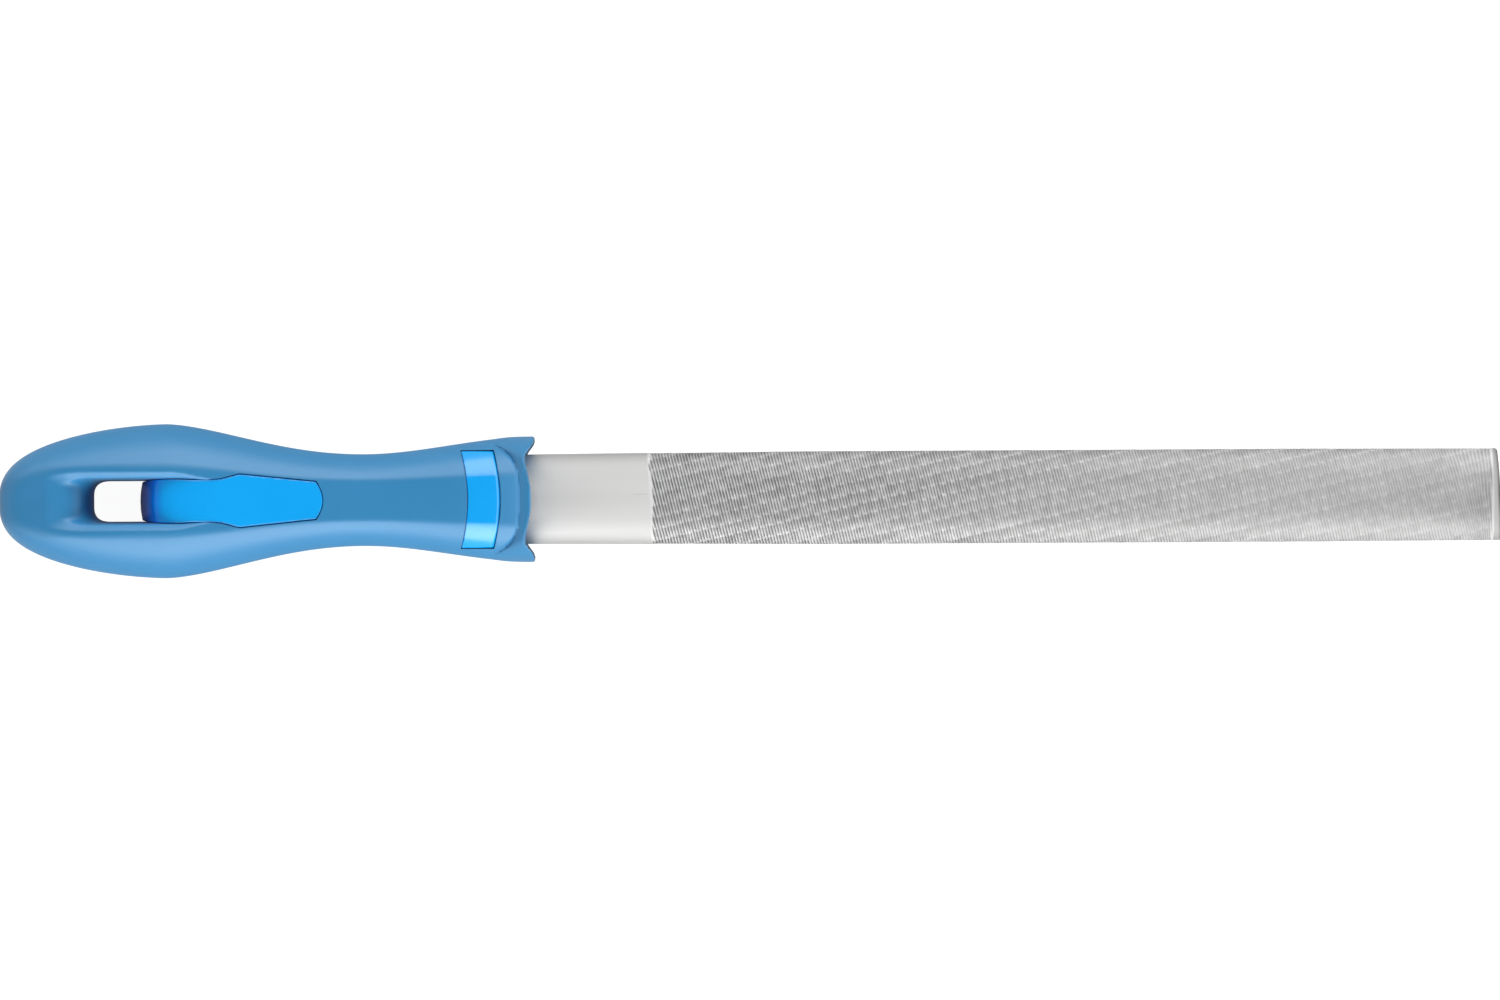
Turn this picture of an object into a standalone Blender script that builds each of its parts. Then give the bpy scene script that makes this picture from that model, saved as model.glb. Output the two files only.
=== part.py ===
"""A half-round hand file in a two-part moulded handle.

The file is one forging: a half-round blade, plain at its heel, with a tapered tang behind
sloping shoulders. The handle is a hard plastic core that grips the tang, overmoulded with a soft
grip. The core shows through the grip as a tongue beside the hanging slot and as a tag on each face.

The frame: +X runs along the file to its tip, +Z is the way the rounded side faces, and the origin
lies on the flat side, on its centre line, at the mouth of the handle. Lengths are in metres.
"""

import math

import bmesh
import bpy

# The file's blade, measured from its shoulders to its tip.
BLADE_LENGTH = 0.2500
BLADE_WIDTH = 0.0240
HEEL_NARROWING = 0.0011
TIP_NARROWING = 0.0004
BLADE_THICKNESS = 0.0070
TIP_THINNING = 0.0003
EDGE_THICKNESS = 0.0013
TIP_CHAMFER = 0.0012
TIP_CORNER = 0.0009
TIP_SKEW = 0.0005
WIDEST_FROM_SHARE = 0.30
WIDEST_TO_SHARE = 0.80

# The tang. Its shoulders sit a little way inside the mouth of the handle.
SHOULDER_SETBACK = 0.0032
SHOULDER_RUN = 0.0050
TANG_LENGTH = 0.0640
TANG_ROOT_WIDTH = 0.0115
TANG_ROOT_THINNING = 0.0008
TANG_END_WIDTH = 0.0052
TANG_END_THICKNESS = 0.0034
TANG_END_CHAMFER = 0.0010
TANG_EDGE_SHARE = 0.80
SHOULDER_EDGE_SHARE = 0.45
SHOULDER_SLOPE_SHARE = 0.62

# The handle's outside. Places along it are measured from the butt, unless they say otherwise.
# Its section is a rounded side cut off by a flat above and below. A side power under 2 tilts the
# side more steeply away from the flat. The two swell powers shape the round of the butt.
HANDLE_LENGTH = 0.1370
BELLY_AT = 0.0430
NECK_AT = 0.0935
BELLY_WIDTH = 0.0394
NECK_WIDTH = 0.0235
COLLAR_WIDTH = 0.0321
BELLY_THICKNESS = 0.0284
NECK_THICKNESS = 0.0194
COLLAR_THICKNESS = 0.0250
BUTT_FLAT_SHARE = 0.60
BELLY_FLAT_SHARE = 0.45
NECK_FLAT_SHARE = 0.44
COLLAR_FLAT_SHARE = 0.40
SWELL_POWER = 2.7
SWELL_REST_POWER = 1.7
FALL_POWER = 0.8
SIDE_POWER = 1.75

# The flange at the mouth: a squarish lip, highest at its corners, with an ear on each side. Its
# rim and the crease at its foot lie back from the ears by shares of these two sizes, given
# against the direction in degrees up from the side.
LIP_WIDTH = 0.0321
LIP_THICKNESS = 0.0280
LIP_POWER = 3.0
LIP_ROUND = 0.0007
EAR_DEPTH = 0.0024
RIM_SETBACK_SHARES = ((0, 0.0), (20, 0.0), (47, 1.0), (90, 0.35))
LIP_RUN = 0.0105
CREASE_SETBACK_SHARES = ((0, 1.0), (24, 0.97), (50, 0.43), (90, 0.35))
DISH_DEPTH = 0.0016
DISH_RING_SHARES = (0.88, 0.60)

# The mouth pocket's room beside the blade's heel and above and below it, and the gaps that
# moulded and fitted pieces keep.
POCKET_SIDE_ROOM = 0.00115
POCKET_HEADROOM = 0.0045
POCKET_POWER = 4.0
CORE_SETBACK = 0.0052
SKIN_THICKNESS = 0.0022
FIT_GAP = 0.0003
SOCKET_CLEARANCE = 0.0003
SOCKET_END_ROOM = 0.0020
PAD_RECESS = 0.0003
OVERRUN = 0.0040

# The hanging slot through the belly, its funnel, and the ramp down to it from the butt.
SLOT_WIDTH = 0.0103
SLOT_REAR_AT = 0.0243
SLOT_FRONT_AT = 0.0360
FUNNEL_WIDTH = 0.0148
FUNNEL_FADE_FROM = 0.0440
FUNNEL_FADE_TO = 0.0585
FUNNEL_STEEPNESS = 0.9
RAMP_REAR_AT = 0.0100
RAMP_POWER = 3.0

# The core: where its body begins, the loop that it carries round the slot, the tongue that shows
# in front of the slot, and the tag behind the flange, measured back from the mouth.
CORE_REAR_AT = 0.0600
LOOP_REAR_AT = 0.0142
LOOP_WIDTH = 0.0252
LOOP_BAR = 0.0042
LOOP_THICKNESS = 0.0090
LOOP_BEND = 0.0090
LOOP_WEB_AT = 0.0380
TONGUE_RISE_RUN = 0.0200
TONGUE_SPREAD_FROM = 0.0500
TONGUE_SHOULDER_AT = 0.0572
TONGUE_SHOULDER_WIDTH = 0.0115
TONGUE_WIDEST_AT = 0.0620
TONGUE_WIDTH = 0.0140
TONGUE_END_WIDTH = 0.0100
TONGUE_END_AT = 0.0815
TONGUE_END_BOW = 0.0018
TAG_WIDTH = 0.0252
TAG_SETBACK = 0.0084
TAG_LENGTH = 0.0086
TAG_BOW = 0.0019
TAG_FOOT_HEIGHT = 0.0045

# How finely the round shapes are faceted.
ARC_STEPS = 18
SIDE_STEPS = 16
FLAT_STEPS = 4
BUTT_STEPS = 10
BELLY_STEPS = 12
NECK_STEPS = 9
LIP_STEPS = 3
RAMP_STEPS = 10
BOW_STEPS = 6
LOOP_STEPS = 8
POCKET_STEPS = 24

# What follows from the sizes above. The handle's axis runs through the middle of the blade.
HEEL_WIDTH = BLADE_WIDTH - HEEL_NARROWING
TIP_WIDTH = BLADE_WIDTH - TIP_NARROWING
TIP_THICKNESS = BLADE_THICKNESS - TIP_THINNING
TANG_ROOT_THICKNESS = BLADE_THICKNESS - TANG_ROOT_THINNING
POCKET_WIDTH = HEEL_WIDTH + 2 * POCKET_SIDE_ROOM
POCKET_HEIGHT = BLADE_THICKNESS + 2 * POCKET_HEADROOM
AXIS_HEIGHT = BLADE_THICKNESS / 2


def clear_scene():
    for thing in list(bpy.data.objects):
        bpy.data.objects.remove(thing)


def material(name, colour, roughness, metallic):
    made = bpy.data.materials.new(name)
    made.use_nodes = True
    shader = made.node_tree.nodes["Principled BSDF"]
    shader.inputs["Base Color"].default_value = (*colour, 1.0)
    shader.inputs["Roughness"].default_value = roughness
    shader.inputs["Metallic"].default_value = metallic
    return made


def place(name, mesh, parent, finish):
    """Puts a mesh in the scene under an empty, shaded smooth except at its real edges."""
    thing = bpy.data.objects.new(name, mesh)
    bpy.context.scene.collection.objects.link(thing)
    thing.parent = parent
    if finish:
        mesh.materials.append(finish)
        mesh.shade_smooth()
        mesh.set_sharp_from_angle(angle=math.radians(30))
    else:
        thing.hide_render = True
        thing.display_type = "WIRE"
    return thing


def loft(name, rings, parent, finish=None):
    """A closed solid through rings of equally many points, with a flat cap at each end."""
    shape = bmesh.new()
    loops = [[shape.verts.new(point) for point in ring] for ring in rings]
    count = len(rings[0])
    for low, high in zip(loops, loops[1:]):
        for i in range(count):
            j = (i + 1) % count
            shape.faces.new((low[i], low[j], high[j], high[i]))
    shape.faces.new(loops[0])
    shape.faces.new(loops[-1])
    bmesh.ops.recalc_face_normals(shape, faces=shape.faces)
    mesh = bpy.data.meshes.new(name)
    shape.to_mesh(mesh)
    shape.free()
    return place(name, mesh, parent, finish)


def plan_prism(name, outline, low, high, parent):
    """A plan outline, given as (x, y), standing from one height to another over the axis."""
    rings = [[(x, y, z) for x, y in outline] for z in (low, high)]
    return loft(name, rings, parent)


def side_prism(name, outline, half_width, parent):
    """A side outline, given as (x, z), reaching to half_width on each side of the axis."""
    rings = [[(x, y, z) for x, z in outline] for y in (-half_width, half_width)]
    return loft(name, rings, parent)


def combine(target, operation, tool):
    step = target.modifiers.new(f"{operation.lower()} {tool.name}", "BOOLEAN")
    step.operation = operation
    step.object = tool
    return target


def mix(low, high, share):
    return low + (high - low) * share


def eased(share):
    return share * share * (3 - 2 * share)


def from_table(table, at):
    """Reads a table of (place, value) pairs, easing from each pair to the next."""
    for (low, low_value), (high, high_value) in zip(table, table[1:]):
        if at <= high:
            return mix(low_value, high_value, eased((at - low) / (high - low)))
    return table[-1][1]


# The file.


def half_round(width, edge, thickness, base):
    """A half-round outline as (y, z): flat below, narrow edges, and an arc over the top."""
    half, rise = width / 2, thickness - edge
    radius = (half * half + rise * rise) / (2 * rise)
    spread = math.asin(half / radius)
    centre = base + thickness - radius
    outline = [(-half, base), (half, base)]
    for i in range(ARC_STEPS + 1):
        angle = mix(spread, -spread, i / ARC_STEPS)
        outline.append((radius * math.sin(angle), centre + radius * math.cos(angle)))
    return outline


def blade_stations():
    """Each place along the blade, back from the tip: x, width, edge, thickness and base."""
    shoulder = -SHOULDER_SETBACK
    tip = shoulder + BLADE_LENGTH
    widest_from = shoulder + BLADE_LENGTH * WIDEST_FROM_SHARE
    widest_to = shoulder + BLADE_LENGTH * WIDEST_TO_SHARE
    tip_thickness = TIP_THICKNESS - TIP_CHAMFER
    return [
        (tip, TIP_WIDTH - 2 * TIP_CORNER, EDGE_THICKNESS, tip_thickness, 0),
        (tip - TIP_CHAMFER, TIP_WIDTH, EDGE_THICKNESS, TIP_THICKNESS, 0),
        (widest_to, BLADE_WIDTH, EDGE_THICKNESS, BLADE_THICKNESS, 0),
        (widest_from, BLADE_WIDTH, EDGE_THICKNESS, BLADE_THICKNESS, 0),
        (shoulder, HEEL_WIDTH, EDGE_THICKNESS, BLADE_THICKNESS, 0),
    ]


def grown(stations, grow):
    """The same stations with their outlines larger by grow on every side."""
    more = 2 * grow
    return [(x, w + more, edge + more, t + more, base - grow) for x, w, edge, t, base in stations]


def tang_stations(grow=0.0, end_room=0.0):
    """Each place along the tang, back from the shoulders, as blade_stations gives them. The
    socket is the same shape, grown all round and longer by end_room."""
    shoulder = -SHOULDER_SETBACK
    root, end = shoulder - SHOULDER_RUN, shoulder - TANG_LENGTH
    half_way = (shoulder + root) / 2
    half_way_width = mix(HEEL_WIDTH, TANG_ROOT_WIDTH, SHOULDER_SLOPE_SHARE)
    half_way_thickness = (BLADE_THICKNESS + TANG_ROOT_THICKNESS) / 2
    sizes = [
        (half_way, half_way_width, SHOULDER_EDGE_SHARE, half_way_thickness),
        (root, TANG_ROOT_WIDTH, TANG_EDGE_SHARE, TANG_ROOT_THICKNESS),
        (end + TANG_END_CHAMFER, TANG_END_WIDTH, TANG_EDGE_SHARE, TANG_END_THICKNESS),
        (end, TANG_END_WIDTH - TANG_END_CHAMFER, TANG_EDGE_SHARE, TANG_END_THICKNESS - TANG_END_CHAMFER),
    ]
    if end_room:
        sizes[-1] = (end - end_room, TANG_END_WIDTH, TANG_EDGE_SHARE, TANG_END_THICKNESS)
    stations = []
    for x, width, share, thickness in sizes:
        base = AXIS_HEIGHT - thickness / 2
        stations.append((x, width, share * thickness, thickness, base))
    return grown(stations, grow)


def skewed(x, y):
    """The tip is sheared a little out of square, which dies away behind the chamfer."""
    tip = BLADE_LENGTH - SHOULDER_SETBACK
    share = max(0, 1 - (tip - x) / BLADE_WIDTH)
    return x - TIP_SKEW * share * y / (TIP_WIDTH / 2)


def file_rings(stations):
    return [
        [(skewed(x, y), y, z) for y, z in half_round(width, edge, thickness, base)]
        for x, width, edge, thickness, base in stations
    ]


def make_file(frame, finish):
    return loft("file_blade", file_rings(blade_stations() + tang_stations()), frame, finish)


def socket_cutter(handle):
    """The tang's space in the core, open to the front, in the handle's own frame."""
    mouth = [
        (OVERRUN, HEEL_WIDTH, EDGE_THICKNESS, BLADE_THICKNESS, 0),
        (-SHOULDER_SETBACK, HEEL_WIDTH, EDGE_THICKNESS, BLADE_THICKNESS, 0),
    ]
    stations = grown(mouth, SOCKET_CLEARANCE) + tang_stations(SOCKET_CLEARANCE, SOCKET_END_ROOM)
    rings = file_rings(stations)
    rings = [[(x, y, z - AXIS_HEIGHT) for x, y, z in ring] for ring in rings]
    return loft("socket_cutter", rings, handle)


# The outside of the handle. It is drawn about its own axis, with x at the mouth 0.


def from_butt(distance):
    return distance - HANDLE_LENGTH


def along(distance, at_belly, at_neck, at_collar):
    """A size that swells from nothing at the butt, peaks at the belly, and dips at the neck."""
    if distance <= BELLY_AT:
        rest = 1 - distance / BELLY_AT
        return at_belly * (1 - rest ** SWELL_REST_POWER) ** (1 / SWELL_POWER)
    if distance <= NECK_AT:
        share = ((distance - BELLY_AT) / (NECK_AT - BELLY_AT)) ** FALL_POWER
        return mix(at_neck, at_belly, (1 + math.cos(math.pi * share)) / 2)
    share = min(1, (distance - NECK_AT) / (HANDLE_LENGTH - NECK_AT))
    return mix(at_neck, at_collar, eased(share))


def body_sizes(distance, inset=0.0):
    """Half the width, half the thickness over the flats, and the flats' share of the width."""
    half_width = along(distance, BELLY_WIDTH, NECK_WIDTH, COLLAR_WIDTH) / 2 - inset
    half_flat = along(distance, BELLY_THICKNESS, NECK_THICKNESS, COLLAR_THICKNESS) / 2 - inset
    flat_shares = (
        (0, BUTT_FLAT_SHARE),
        (BELLY_AT, BELLY_FLAT_SHARE),
        (NECK_AT, NECK_FLAT_SHARE),
        (HANDLE_LENGTH, COLLAR_FLAT_SHARE),
    )
    return half_width, half_flat, from_table(flat_shares, distance)


def crown_of(half_flat, flat_share):
    """How high the rounded sides would meet over the centre line, were they not cut off."""
    return half_flat / (1 - flat_share ** SIDE_POWER) ** (1 / SIDE_POWER)


def body_height(distance, y):
    """How high the body's surface stands over the axis at a distance y from its centre line."""
    half_width, half_flat, flat_share = body_sizes(distance)
    rest = max(0, 1 - (abs(y) / half_width) ** SIDE_POWER)
    return min(half_flat, crown_of(half_flat, flat_share) * rest ** (1 / SIDE_POWER))


def squarish_reach(angle, half_width, half_height, power):
    """The distance from the axis to a rounded outline, in one direction."""
    across = abs(math.cos(angle)) / half_width
    up = abs(math.sin(angle)) / half_height
    return (across ** power + up ** power) ** (-1 / power)


def section_angles(distance):
    """The directions in which a section is drawn, closer together over its rounded sides."""
    half_width, half_flat, flat_share = body_sizes(distance)
    crease = math.atan2(half_flat, half_width * flat_share)
    side = [mix(-crease, crease, i / SIDE_STEPS) for i in range(SIDE_STEPS + 1)]
    flat = [mix(crease, math.pi - crease, i / FLAT_STEPS) for i in range(1, FLAT_STEPS)]
    upper_half = side + flat
    return upper_half + [angle + math.pi for angle in upper_half]


def body_point(distance, angle, inset=0.0):
    """The body's surface as (y, z), in one direction from the axis."""
    half_width, half_flat, flat_share = body_sizes(distance, inset)
    crown = crown_of(half_flat, flat_share)
    reach = squarish_reach(angle, half_width, crown, SIDE_POWER)
    y, z = reach * math.cos(angle), reach * math.sin(angle)
    scale = min(1, half_flat / max(abs(z), half_flat / 2))
    return y * scale, z * scale


def body_outline(distance, inset=0.0):
    return [body_point(distance, angle, inset) for angle in section_angles(distance)]


def degrees_up(angle):
    """The direction in degrees up or down from the nearer side."""
    return math.degrees(math.atan2(abs(math.sin(angle)), abs(math.cos(angle))))


def lip_point(angle, share):
    """A point of the lip, from the crease at its foot to its rim as share goes from 0 to 1."""
    direction = degrees_up(angle)
    foot = -LIP_RUN * from_table(CREASE_SETBACK_SHARES, direction)
    rim = -EAR_DEPTH * from_table(RIM_SETBACK_SHARES, direction) - LIP_ROUND
    x = mix(foot, rim, share)
    body_y, body_z = body_point(HANDLE_LENGTH + x, angle)
    reach = squarish_reach(angle, LIP_WIDTH / 2, LIP_THICKNESS / 2, LIP_POWER)
    proud = max(0, reach / math.hypot(body_y, body_z) - 1)
    scale = 1 + proud * share
    return x, body_y * scale, body_z * scale


def envelope_distances():
    """The distances from the butt at which the outside is drawn, closer where it curves more."""
    turns = [i / BUTT_STEPS for i in range(1, BUTT_STEPS + 1)]
    butt = [BELLY_AT * (1 - math.cos(turn * math.pi / 2)) for turn in turns]
    belly = [mix(BELLY_AT, NECK_AT, i / BELLY_STEPS) for i in range(1, BELLY_STEPS + 1)]
    foot = HANDLE_LENGTH - LIP_RUN
    neck = [mix(NECK_AT, foot, i / (NECK_STEPS + 1)) for i in range(1, NECK_STEPS + 1)]
    nose = [butt[0] / 4]
    return nose + butt + belly + neck


def envelope_rings():
    """The whole outside of the handle, from the butt to the dished face round the mouth."""
    rings = [[(from_butt(d), y, z) for y, z in body_outline(d)] for d in envelope_distances()]
    angles = section_angles(HANDLE_LENGTH)
    for i in range(LIP_STEPS + 1):
        rings.append([lip_point(angle, i / LIP_STEPS) for angle in angles])
    near_share, far_share = DISH_RING_SHARES
    round_share = 1 - LIP_ROUND / (LIP_THICKNESS / 2)
    rim = [(x + LIP_ROUND, y * round_share, z * round_share) for x, y, z in rings[-1]]
    rings.append(rim)
    rings.append([(mix(x, -EAR_DEPTH, near_share), y * near_share, z * near_share) for x, y, z in rim])
    rings.append([(-EAR_DEPTH - DISH_DEPTH, y * far_share, z * far_share) for x, y, z in rim])
    return rings


def inner_envelope(name, inset, rear, front, handle):
    """The handle's shape brought in by inset, between two distances from the butt."""
    between = [d for d in envelope_distances() if rear < d < front]
    distances = [rear] + between + [front]
    rings = [[(from_butt(d), y, z) for y, z in body_outline(d, inset)] for d in distances]
    return loft(name, rings, handle)


# Outlines that the core and the grip share. grow makes the grip's openings larger than the core.


def slot_half_width():
    return SLOT_WIDTH / 2


def tongue_outline(grow=0.0):
    """The tongue in plan: as wide as the slot, then spreading, tapering and bowed at its end."""
    half_slot = slot_half_width() - FIT_GAP + grow
    rear = SLOT_REAR_AT + grow
    widest = TONGUE_WIDTH / 2 - FIT_GAP + grow
    end = TONGUE_END_WIDTH / 2 - FIT_GAP + grow
    shoulder = TONGUE_SHOULDER_WIDTH / 2 - FIT_GAP + grow
    side = [
        (rear, half_slot),
        (TONGUE_SPREAD_FROM, half_slot),
        (TONGUE_SHOULDER_AT, shoulder),
        (TONGUE_WIDEST_AT, widest),
    ]
    bow = []
    for i in range(BOW_STEPS + 1):
        y = mix(end, -end, i / BOW_STEPS)
        bow.append((TONGUE_END_AT - FIT_GAP + grow + TONGUE_END_BOW * (1 - (y / end) ** 2), y))
    other = [(x, -y) for x, y in reversed(side)]
    return [(from_butt(x), y) for x, y in side + bow + other]


def tag_outline(grow=0.0):
    """The tag in plan: a band across the handle with both its long sides bowed to the front."""
    half_width = TAG_WIDTH / 2 - FIT_GAP + grow
    front = -TAG_SETBACK - FIT_GAP + grow
    rear = -TAG_SETBACK - TAG_LENGTH + FIT_GAP - grow
    outline = []
    for edge, sign in ((front, 1), (rear, -1)):
        for i in range(BOW_STEPS + 1):
            y = sign * mix(half_width, -half_width, i / BOW_STEPS)
            outline.append((edge - TAG_BOW * (y / half_width) ** 2, y))
    return outline


def loop_outline(front, inset):
    """The loop round the slot in plan: straight sides and a rounded end behind the slot."""
    half_width = LOOP_WIDTH / 2 - inset
    rear = from_butt(LOOP_REAR_AT) + inset
    bend = LOOP_BEND - inset / 2
    arc = []
    for i in range(LOOP_STEPS + 1):
        angle = mix(math.pi / 2, 3 * math.pi / 2, i / LOOP_STEPS)
        arc.append((rear + bend + bend * math.cos(angle), half_width * math.sin(angle)))
    return [(front, half_width)] + arc + [(front, -half_width)]


def ramp_outline():
    """In side view, all the space that the slot and the ramps behind it open, both ways up."""
    high = BELLY_THICKNESS / 2 + OVERRUN
    front = from_butt(FUNNEL_FADE_TO)
    top = body_height(RAMP_REAR_AT, 0)
    ramp = []
    for i in range(RAMP_STEPS + 1):
        share = math.sin(math.pi / 2 * i / RAMP_STEPS)
        x = mix(from_butt(RAMP_REAR_AT), from_butt(SLOT_REAR_AT), share)
        ramp.append((x, top * math.sqrt(1 - share ** RAMP_POWER)))
    behind = from_butt(RAMP_REAR_AT) - OVERRUN
    upper = [(behind, high), (behind, top)] + ramp[:-1]
    lower = [(x, -z) for x, z in reversed(upper)]
    return upper + ramp[-1:] + lower + [(front, -high), (front, high)]


def nose_outline():
    """In side view, the space that the core may fill: a round nose, then all of it."""
    high = BELLY_THICKNESS / 2 + OVERRUN
    top = body_height(SLOT_FRONT_AT + TONGUE_RISE_RUN, 0)
    nose = []
    for i in range(2 * RAMP_STEPS + 1):
        angle = mix(math.pi / 2, -math.pi / 2, i / (2 * RAMP_STEPS))
        x = from_butt(SLOT_FRONT_AT + TONGUE_RISE_RUN) - TONGUE_RISE_RUN * math.cos(angle)
        nose.append((x, top * math.sin(angle)))
    start = nose[0][0]
    return [(start, high)] + nose + [(start, -high), (OVERRUN, -high), (OVERRUN, high)]


# The core.


def core_solids(grow, handle, name):
    """The core's body with its loop, grown all round for the space that it leaves in the grip."""
    rear, front = CORE_REAR_AT - grow, HANDLE_LENGTH - CORE_SETBACK + grow
    body = inner_envelope(f"{name}_body", SKIN_THICKNESS - grow, rear, front, handle)
    half_height = LOOP_THICKNESS / 2 + grow
    outer = loop_outline(from_butt(CORE_REAR_AT) + OVERRUN, -grow)
    inner = loop_outline(from_butt(LOOP_WEB_AT) - grow, LOOP_BAR + grow)
    loop = plan_prism(f"{name}_loop", outer, -half_height, half_height, handle)
    hole = plan_prism(f"{name}_loop_hole", inner, -half_height - OVERRUN, half_height + OVERRUN, handle)
    return body, combine(loop, "DIFFERENCE", hole)


def core_pad(name, outline, low, high, handle):
    """A part of the core that fills a window of the grip, a little below the grip's surface."""
    rear, front = SLOT_REAR_AT, HANDLE_LENGTH - CORE_SETBACK
    pad = inner_envelope(name, PAD_RECESS, rear, front, handle)
    prism = plan_prism(f"{name}_plan", outline, low, high, handle)
    return combine(pad, "INTERSECT", prism)


def make_core(handle, finish):
    core, loop = core_solids(0, handle, "core")
    core.name = "handle_core"
    core.hide_render = False
    core.display_type = "TEXTURED"
    core.data.materials.append(finish)
    tongue = core_pad("core_tongue", tongue_outline(), -BELLY_THICKNESS, BELLY_THICKNESS, handle)
    combine(tongue, "INTERSECT", side_prism("core_nose", nose_outline(), TONGUE_WIDTH, handle))
    foot = TAG_FOOT_HEIGHT + FIT_GAP
    upper = core_pad("upper_tag", tag_outline(), foot, BELLY_THICKNESS, handle)
    lower = core_pad("lower_tag", tag_outline(), -BELLY_THICKNESS, -foot, handle)
    for piece in (loop, tongue, upper, lower):
        combine(core, "UNION", piece)
    return combine(core, "DIFFERENCE", socket_cutter(handle))


# The grip.


def funnel_width(distance):
    """Half the funnel's width at the surface, which fades into the slot beside the tongue."""
    share = (distance - FUNNEL_FADE_FROM) / (FUNNEL_FADE_TO - FUNNEL_FADE_FROM)
    return mix(FUNNEL_WIDTH / 2, slot_half_width(), eased(max(0, min(1, share))))


def funnel_cutter(handle):
    """The slot with its sloping sides, both ways up, opened only as far as the ramps allow."""
    half_slot = slot_half_width()
    high = BELLY_THICKNESS / 2 + 2 * OVERRUN
    rings = []
    for i in range(BELLY_STEPS + 1):
        distance = mix(RAMP_REAR_AT / 2, FUNNEL_FADE_TO, i / BELLY_STEPS)
        width = funnel_width(distance)
        floor = body_height(distance, width) - (width - half_slot) * FUNNEL_STEEPNESS
        top = half_slot + (high - floor) / FUNNEL_STEEPNESS
        right = [(top, -high), (half_slot, -floor), (half_slot, floor), (top, high)]
        outline = right + [(-y, -z) for y, z in right]
        rings.append([(from_butt(distance), y, z) for y, z in outline])
    funnel = loft("funnel_cutter", rings, handle)
    ramps = side_prism("ramp_space", ramp_outline(), BELLY_WIDTH, handle)
    return combine(funnel, "INTERSECT", ramps)


def pocket_cutter(handle):
    """The pocket in the mouth, which takes the heel of the blade."""
    outline = []
    for i in range(POCKET_STEPS):
        angle = 2 * math.pi * i / POCKET_STEPS
        reach = squarish_reach(angle, POCKET_WIDTH / 2, POCKET_HEIGHT / 2, POCKET_POWER)
        outline.append((reach * math.cos(angle), reach * math.sin(angle)))
    rear = -CORE_SETBACK - FIT_GAP
    return loft("pocket_cutter", [[(x, y, z) for y, z in outline] for x in (rear, OVERRUN)], handle)


def make_grip(handle, finish):
    grip = loft("soft_grip", envelope_rings(), handle, finish)
    cavity_body, cavity_loop = core_solids(FIT_GAP, handle, "cavity")
    deep, foot = BELLY_THICKNESS, TAG_FOOT_HEIGHT
    cutters = [
        cavity_body,
        cavity_loop,
        plan_prism("tongue_window", tongue_outline(FIT_GAP), -deep, deep, handle),
        plan_prism("upper_tag_window", tag_outline(FIT_GAP), foot, deep, handle),
        plan_prism("lower_tag_window", tag_outline(FIT_GAP), -deep, -foot, handle),
        funnel_cutter(handle),
        pocket_cutter(handle),
    ]
    for cutter in cutters:
        combine(grip, "DIFFERENCE", cutter)
    return grip


def main():
    clear_scene()
    steel = material("file steel", (0.56, 0.56, 0.57), 0.42, 1.0)
    hard_blue = material("hard blue plastic", (0.004, 0.36, 0.90), 0.30, 0.0)
    soft_blue = material("soft blue grip", (0.080, 0.29, 0.55), 0.50, 0.0)
    frame = bpy.data.objects.new("file_frame", None)
    handle = bpy.data.objects.new("handle_frame", None)
    for empty in (frame, handle):
        bpy.context.scene.collection.objects.link(empty)
    handle.location = (0, 0, AXIS_HEIGHT)
    make_file(frame, steel)
    make_core(handle, hard_blue)
    make_grip(handle, soft_blue)


main()
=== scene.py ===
"""The half-round file in its moulded handle, dressed for its photograph.

+X runs along the file to its tip, +Z out of its rounded side, and the origin lies on the flat side
at the mouth of the handle. Lengths are in metres.
"""

import math

import bmesh
import bpy
import numpy as np
from mathutils import Matrix, Vector


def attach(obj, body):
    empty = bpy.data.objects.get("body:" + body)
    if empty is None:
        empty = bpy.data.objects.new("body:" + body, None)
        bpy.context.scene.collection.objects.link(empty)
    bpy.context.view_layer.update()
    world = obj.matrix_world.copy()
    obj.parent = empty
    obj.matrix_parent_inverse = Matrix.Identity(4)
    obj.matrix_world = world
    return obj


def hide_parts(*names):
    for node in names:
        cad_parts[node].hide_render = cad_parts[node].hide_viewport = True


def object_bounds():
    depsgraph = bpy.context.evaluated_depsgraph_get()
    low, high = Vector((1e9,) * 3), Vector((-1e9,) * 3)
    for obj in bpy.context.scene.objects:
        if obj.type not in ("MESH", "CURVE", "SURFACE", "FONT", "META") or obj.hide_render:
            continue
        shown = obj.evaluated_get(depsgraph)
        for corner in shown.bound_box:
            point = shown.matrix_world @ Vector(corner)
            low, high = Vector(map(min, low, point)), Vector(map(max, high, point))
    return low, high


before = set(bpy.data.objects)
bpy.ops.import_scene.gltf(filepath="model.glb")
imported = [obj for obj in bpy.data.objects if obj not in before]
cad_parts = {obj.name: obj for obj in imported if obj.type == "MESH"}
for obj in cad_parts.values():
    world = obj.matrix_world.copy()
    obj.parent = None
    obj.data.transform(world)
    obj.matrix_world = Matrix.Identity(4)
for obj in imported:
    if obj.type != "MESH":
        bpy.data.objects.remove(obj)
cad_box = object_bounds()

# The camera looks straight down from far off, so the file lies across the picture with hardly any
# perspective. It is turned a third of a degree, as the file lies a little askew.
VIEW_WIDTH = 0.3841
VIEW_MIDDLE = (0.0550, -0.0005)
CAMERA_HEIGHT = 2.6
CAMERA_TURN = math.radians(-0.31)
CAMERA_REACH = 4 * CAMERA_HEIGHT
SENSOR_WIDTH_MM = 36.0

scene = bpy.context.scene
scene.view_settings.view_transform = "Standard"

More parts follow.
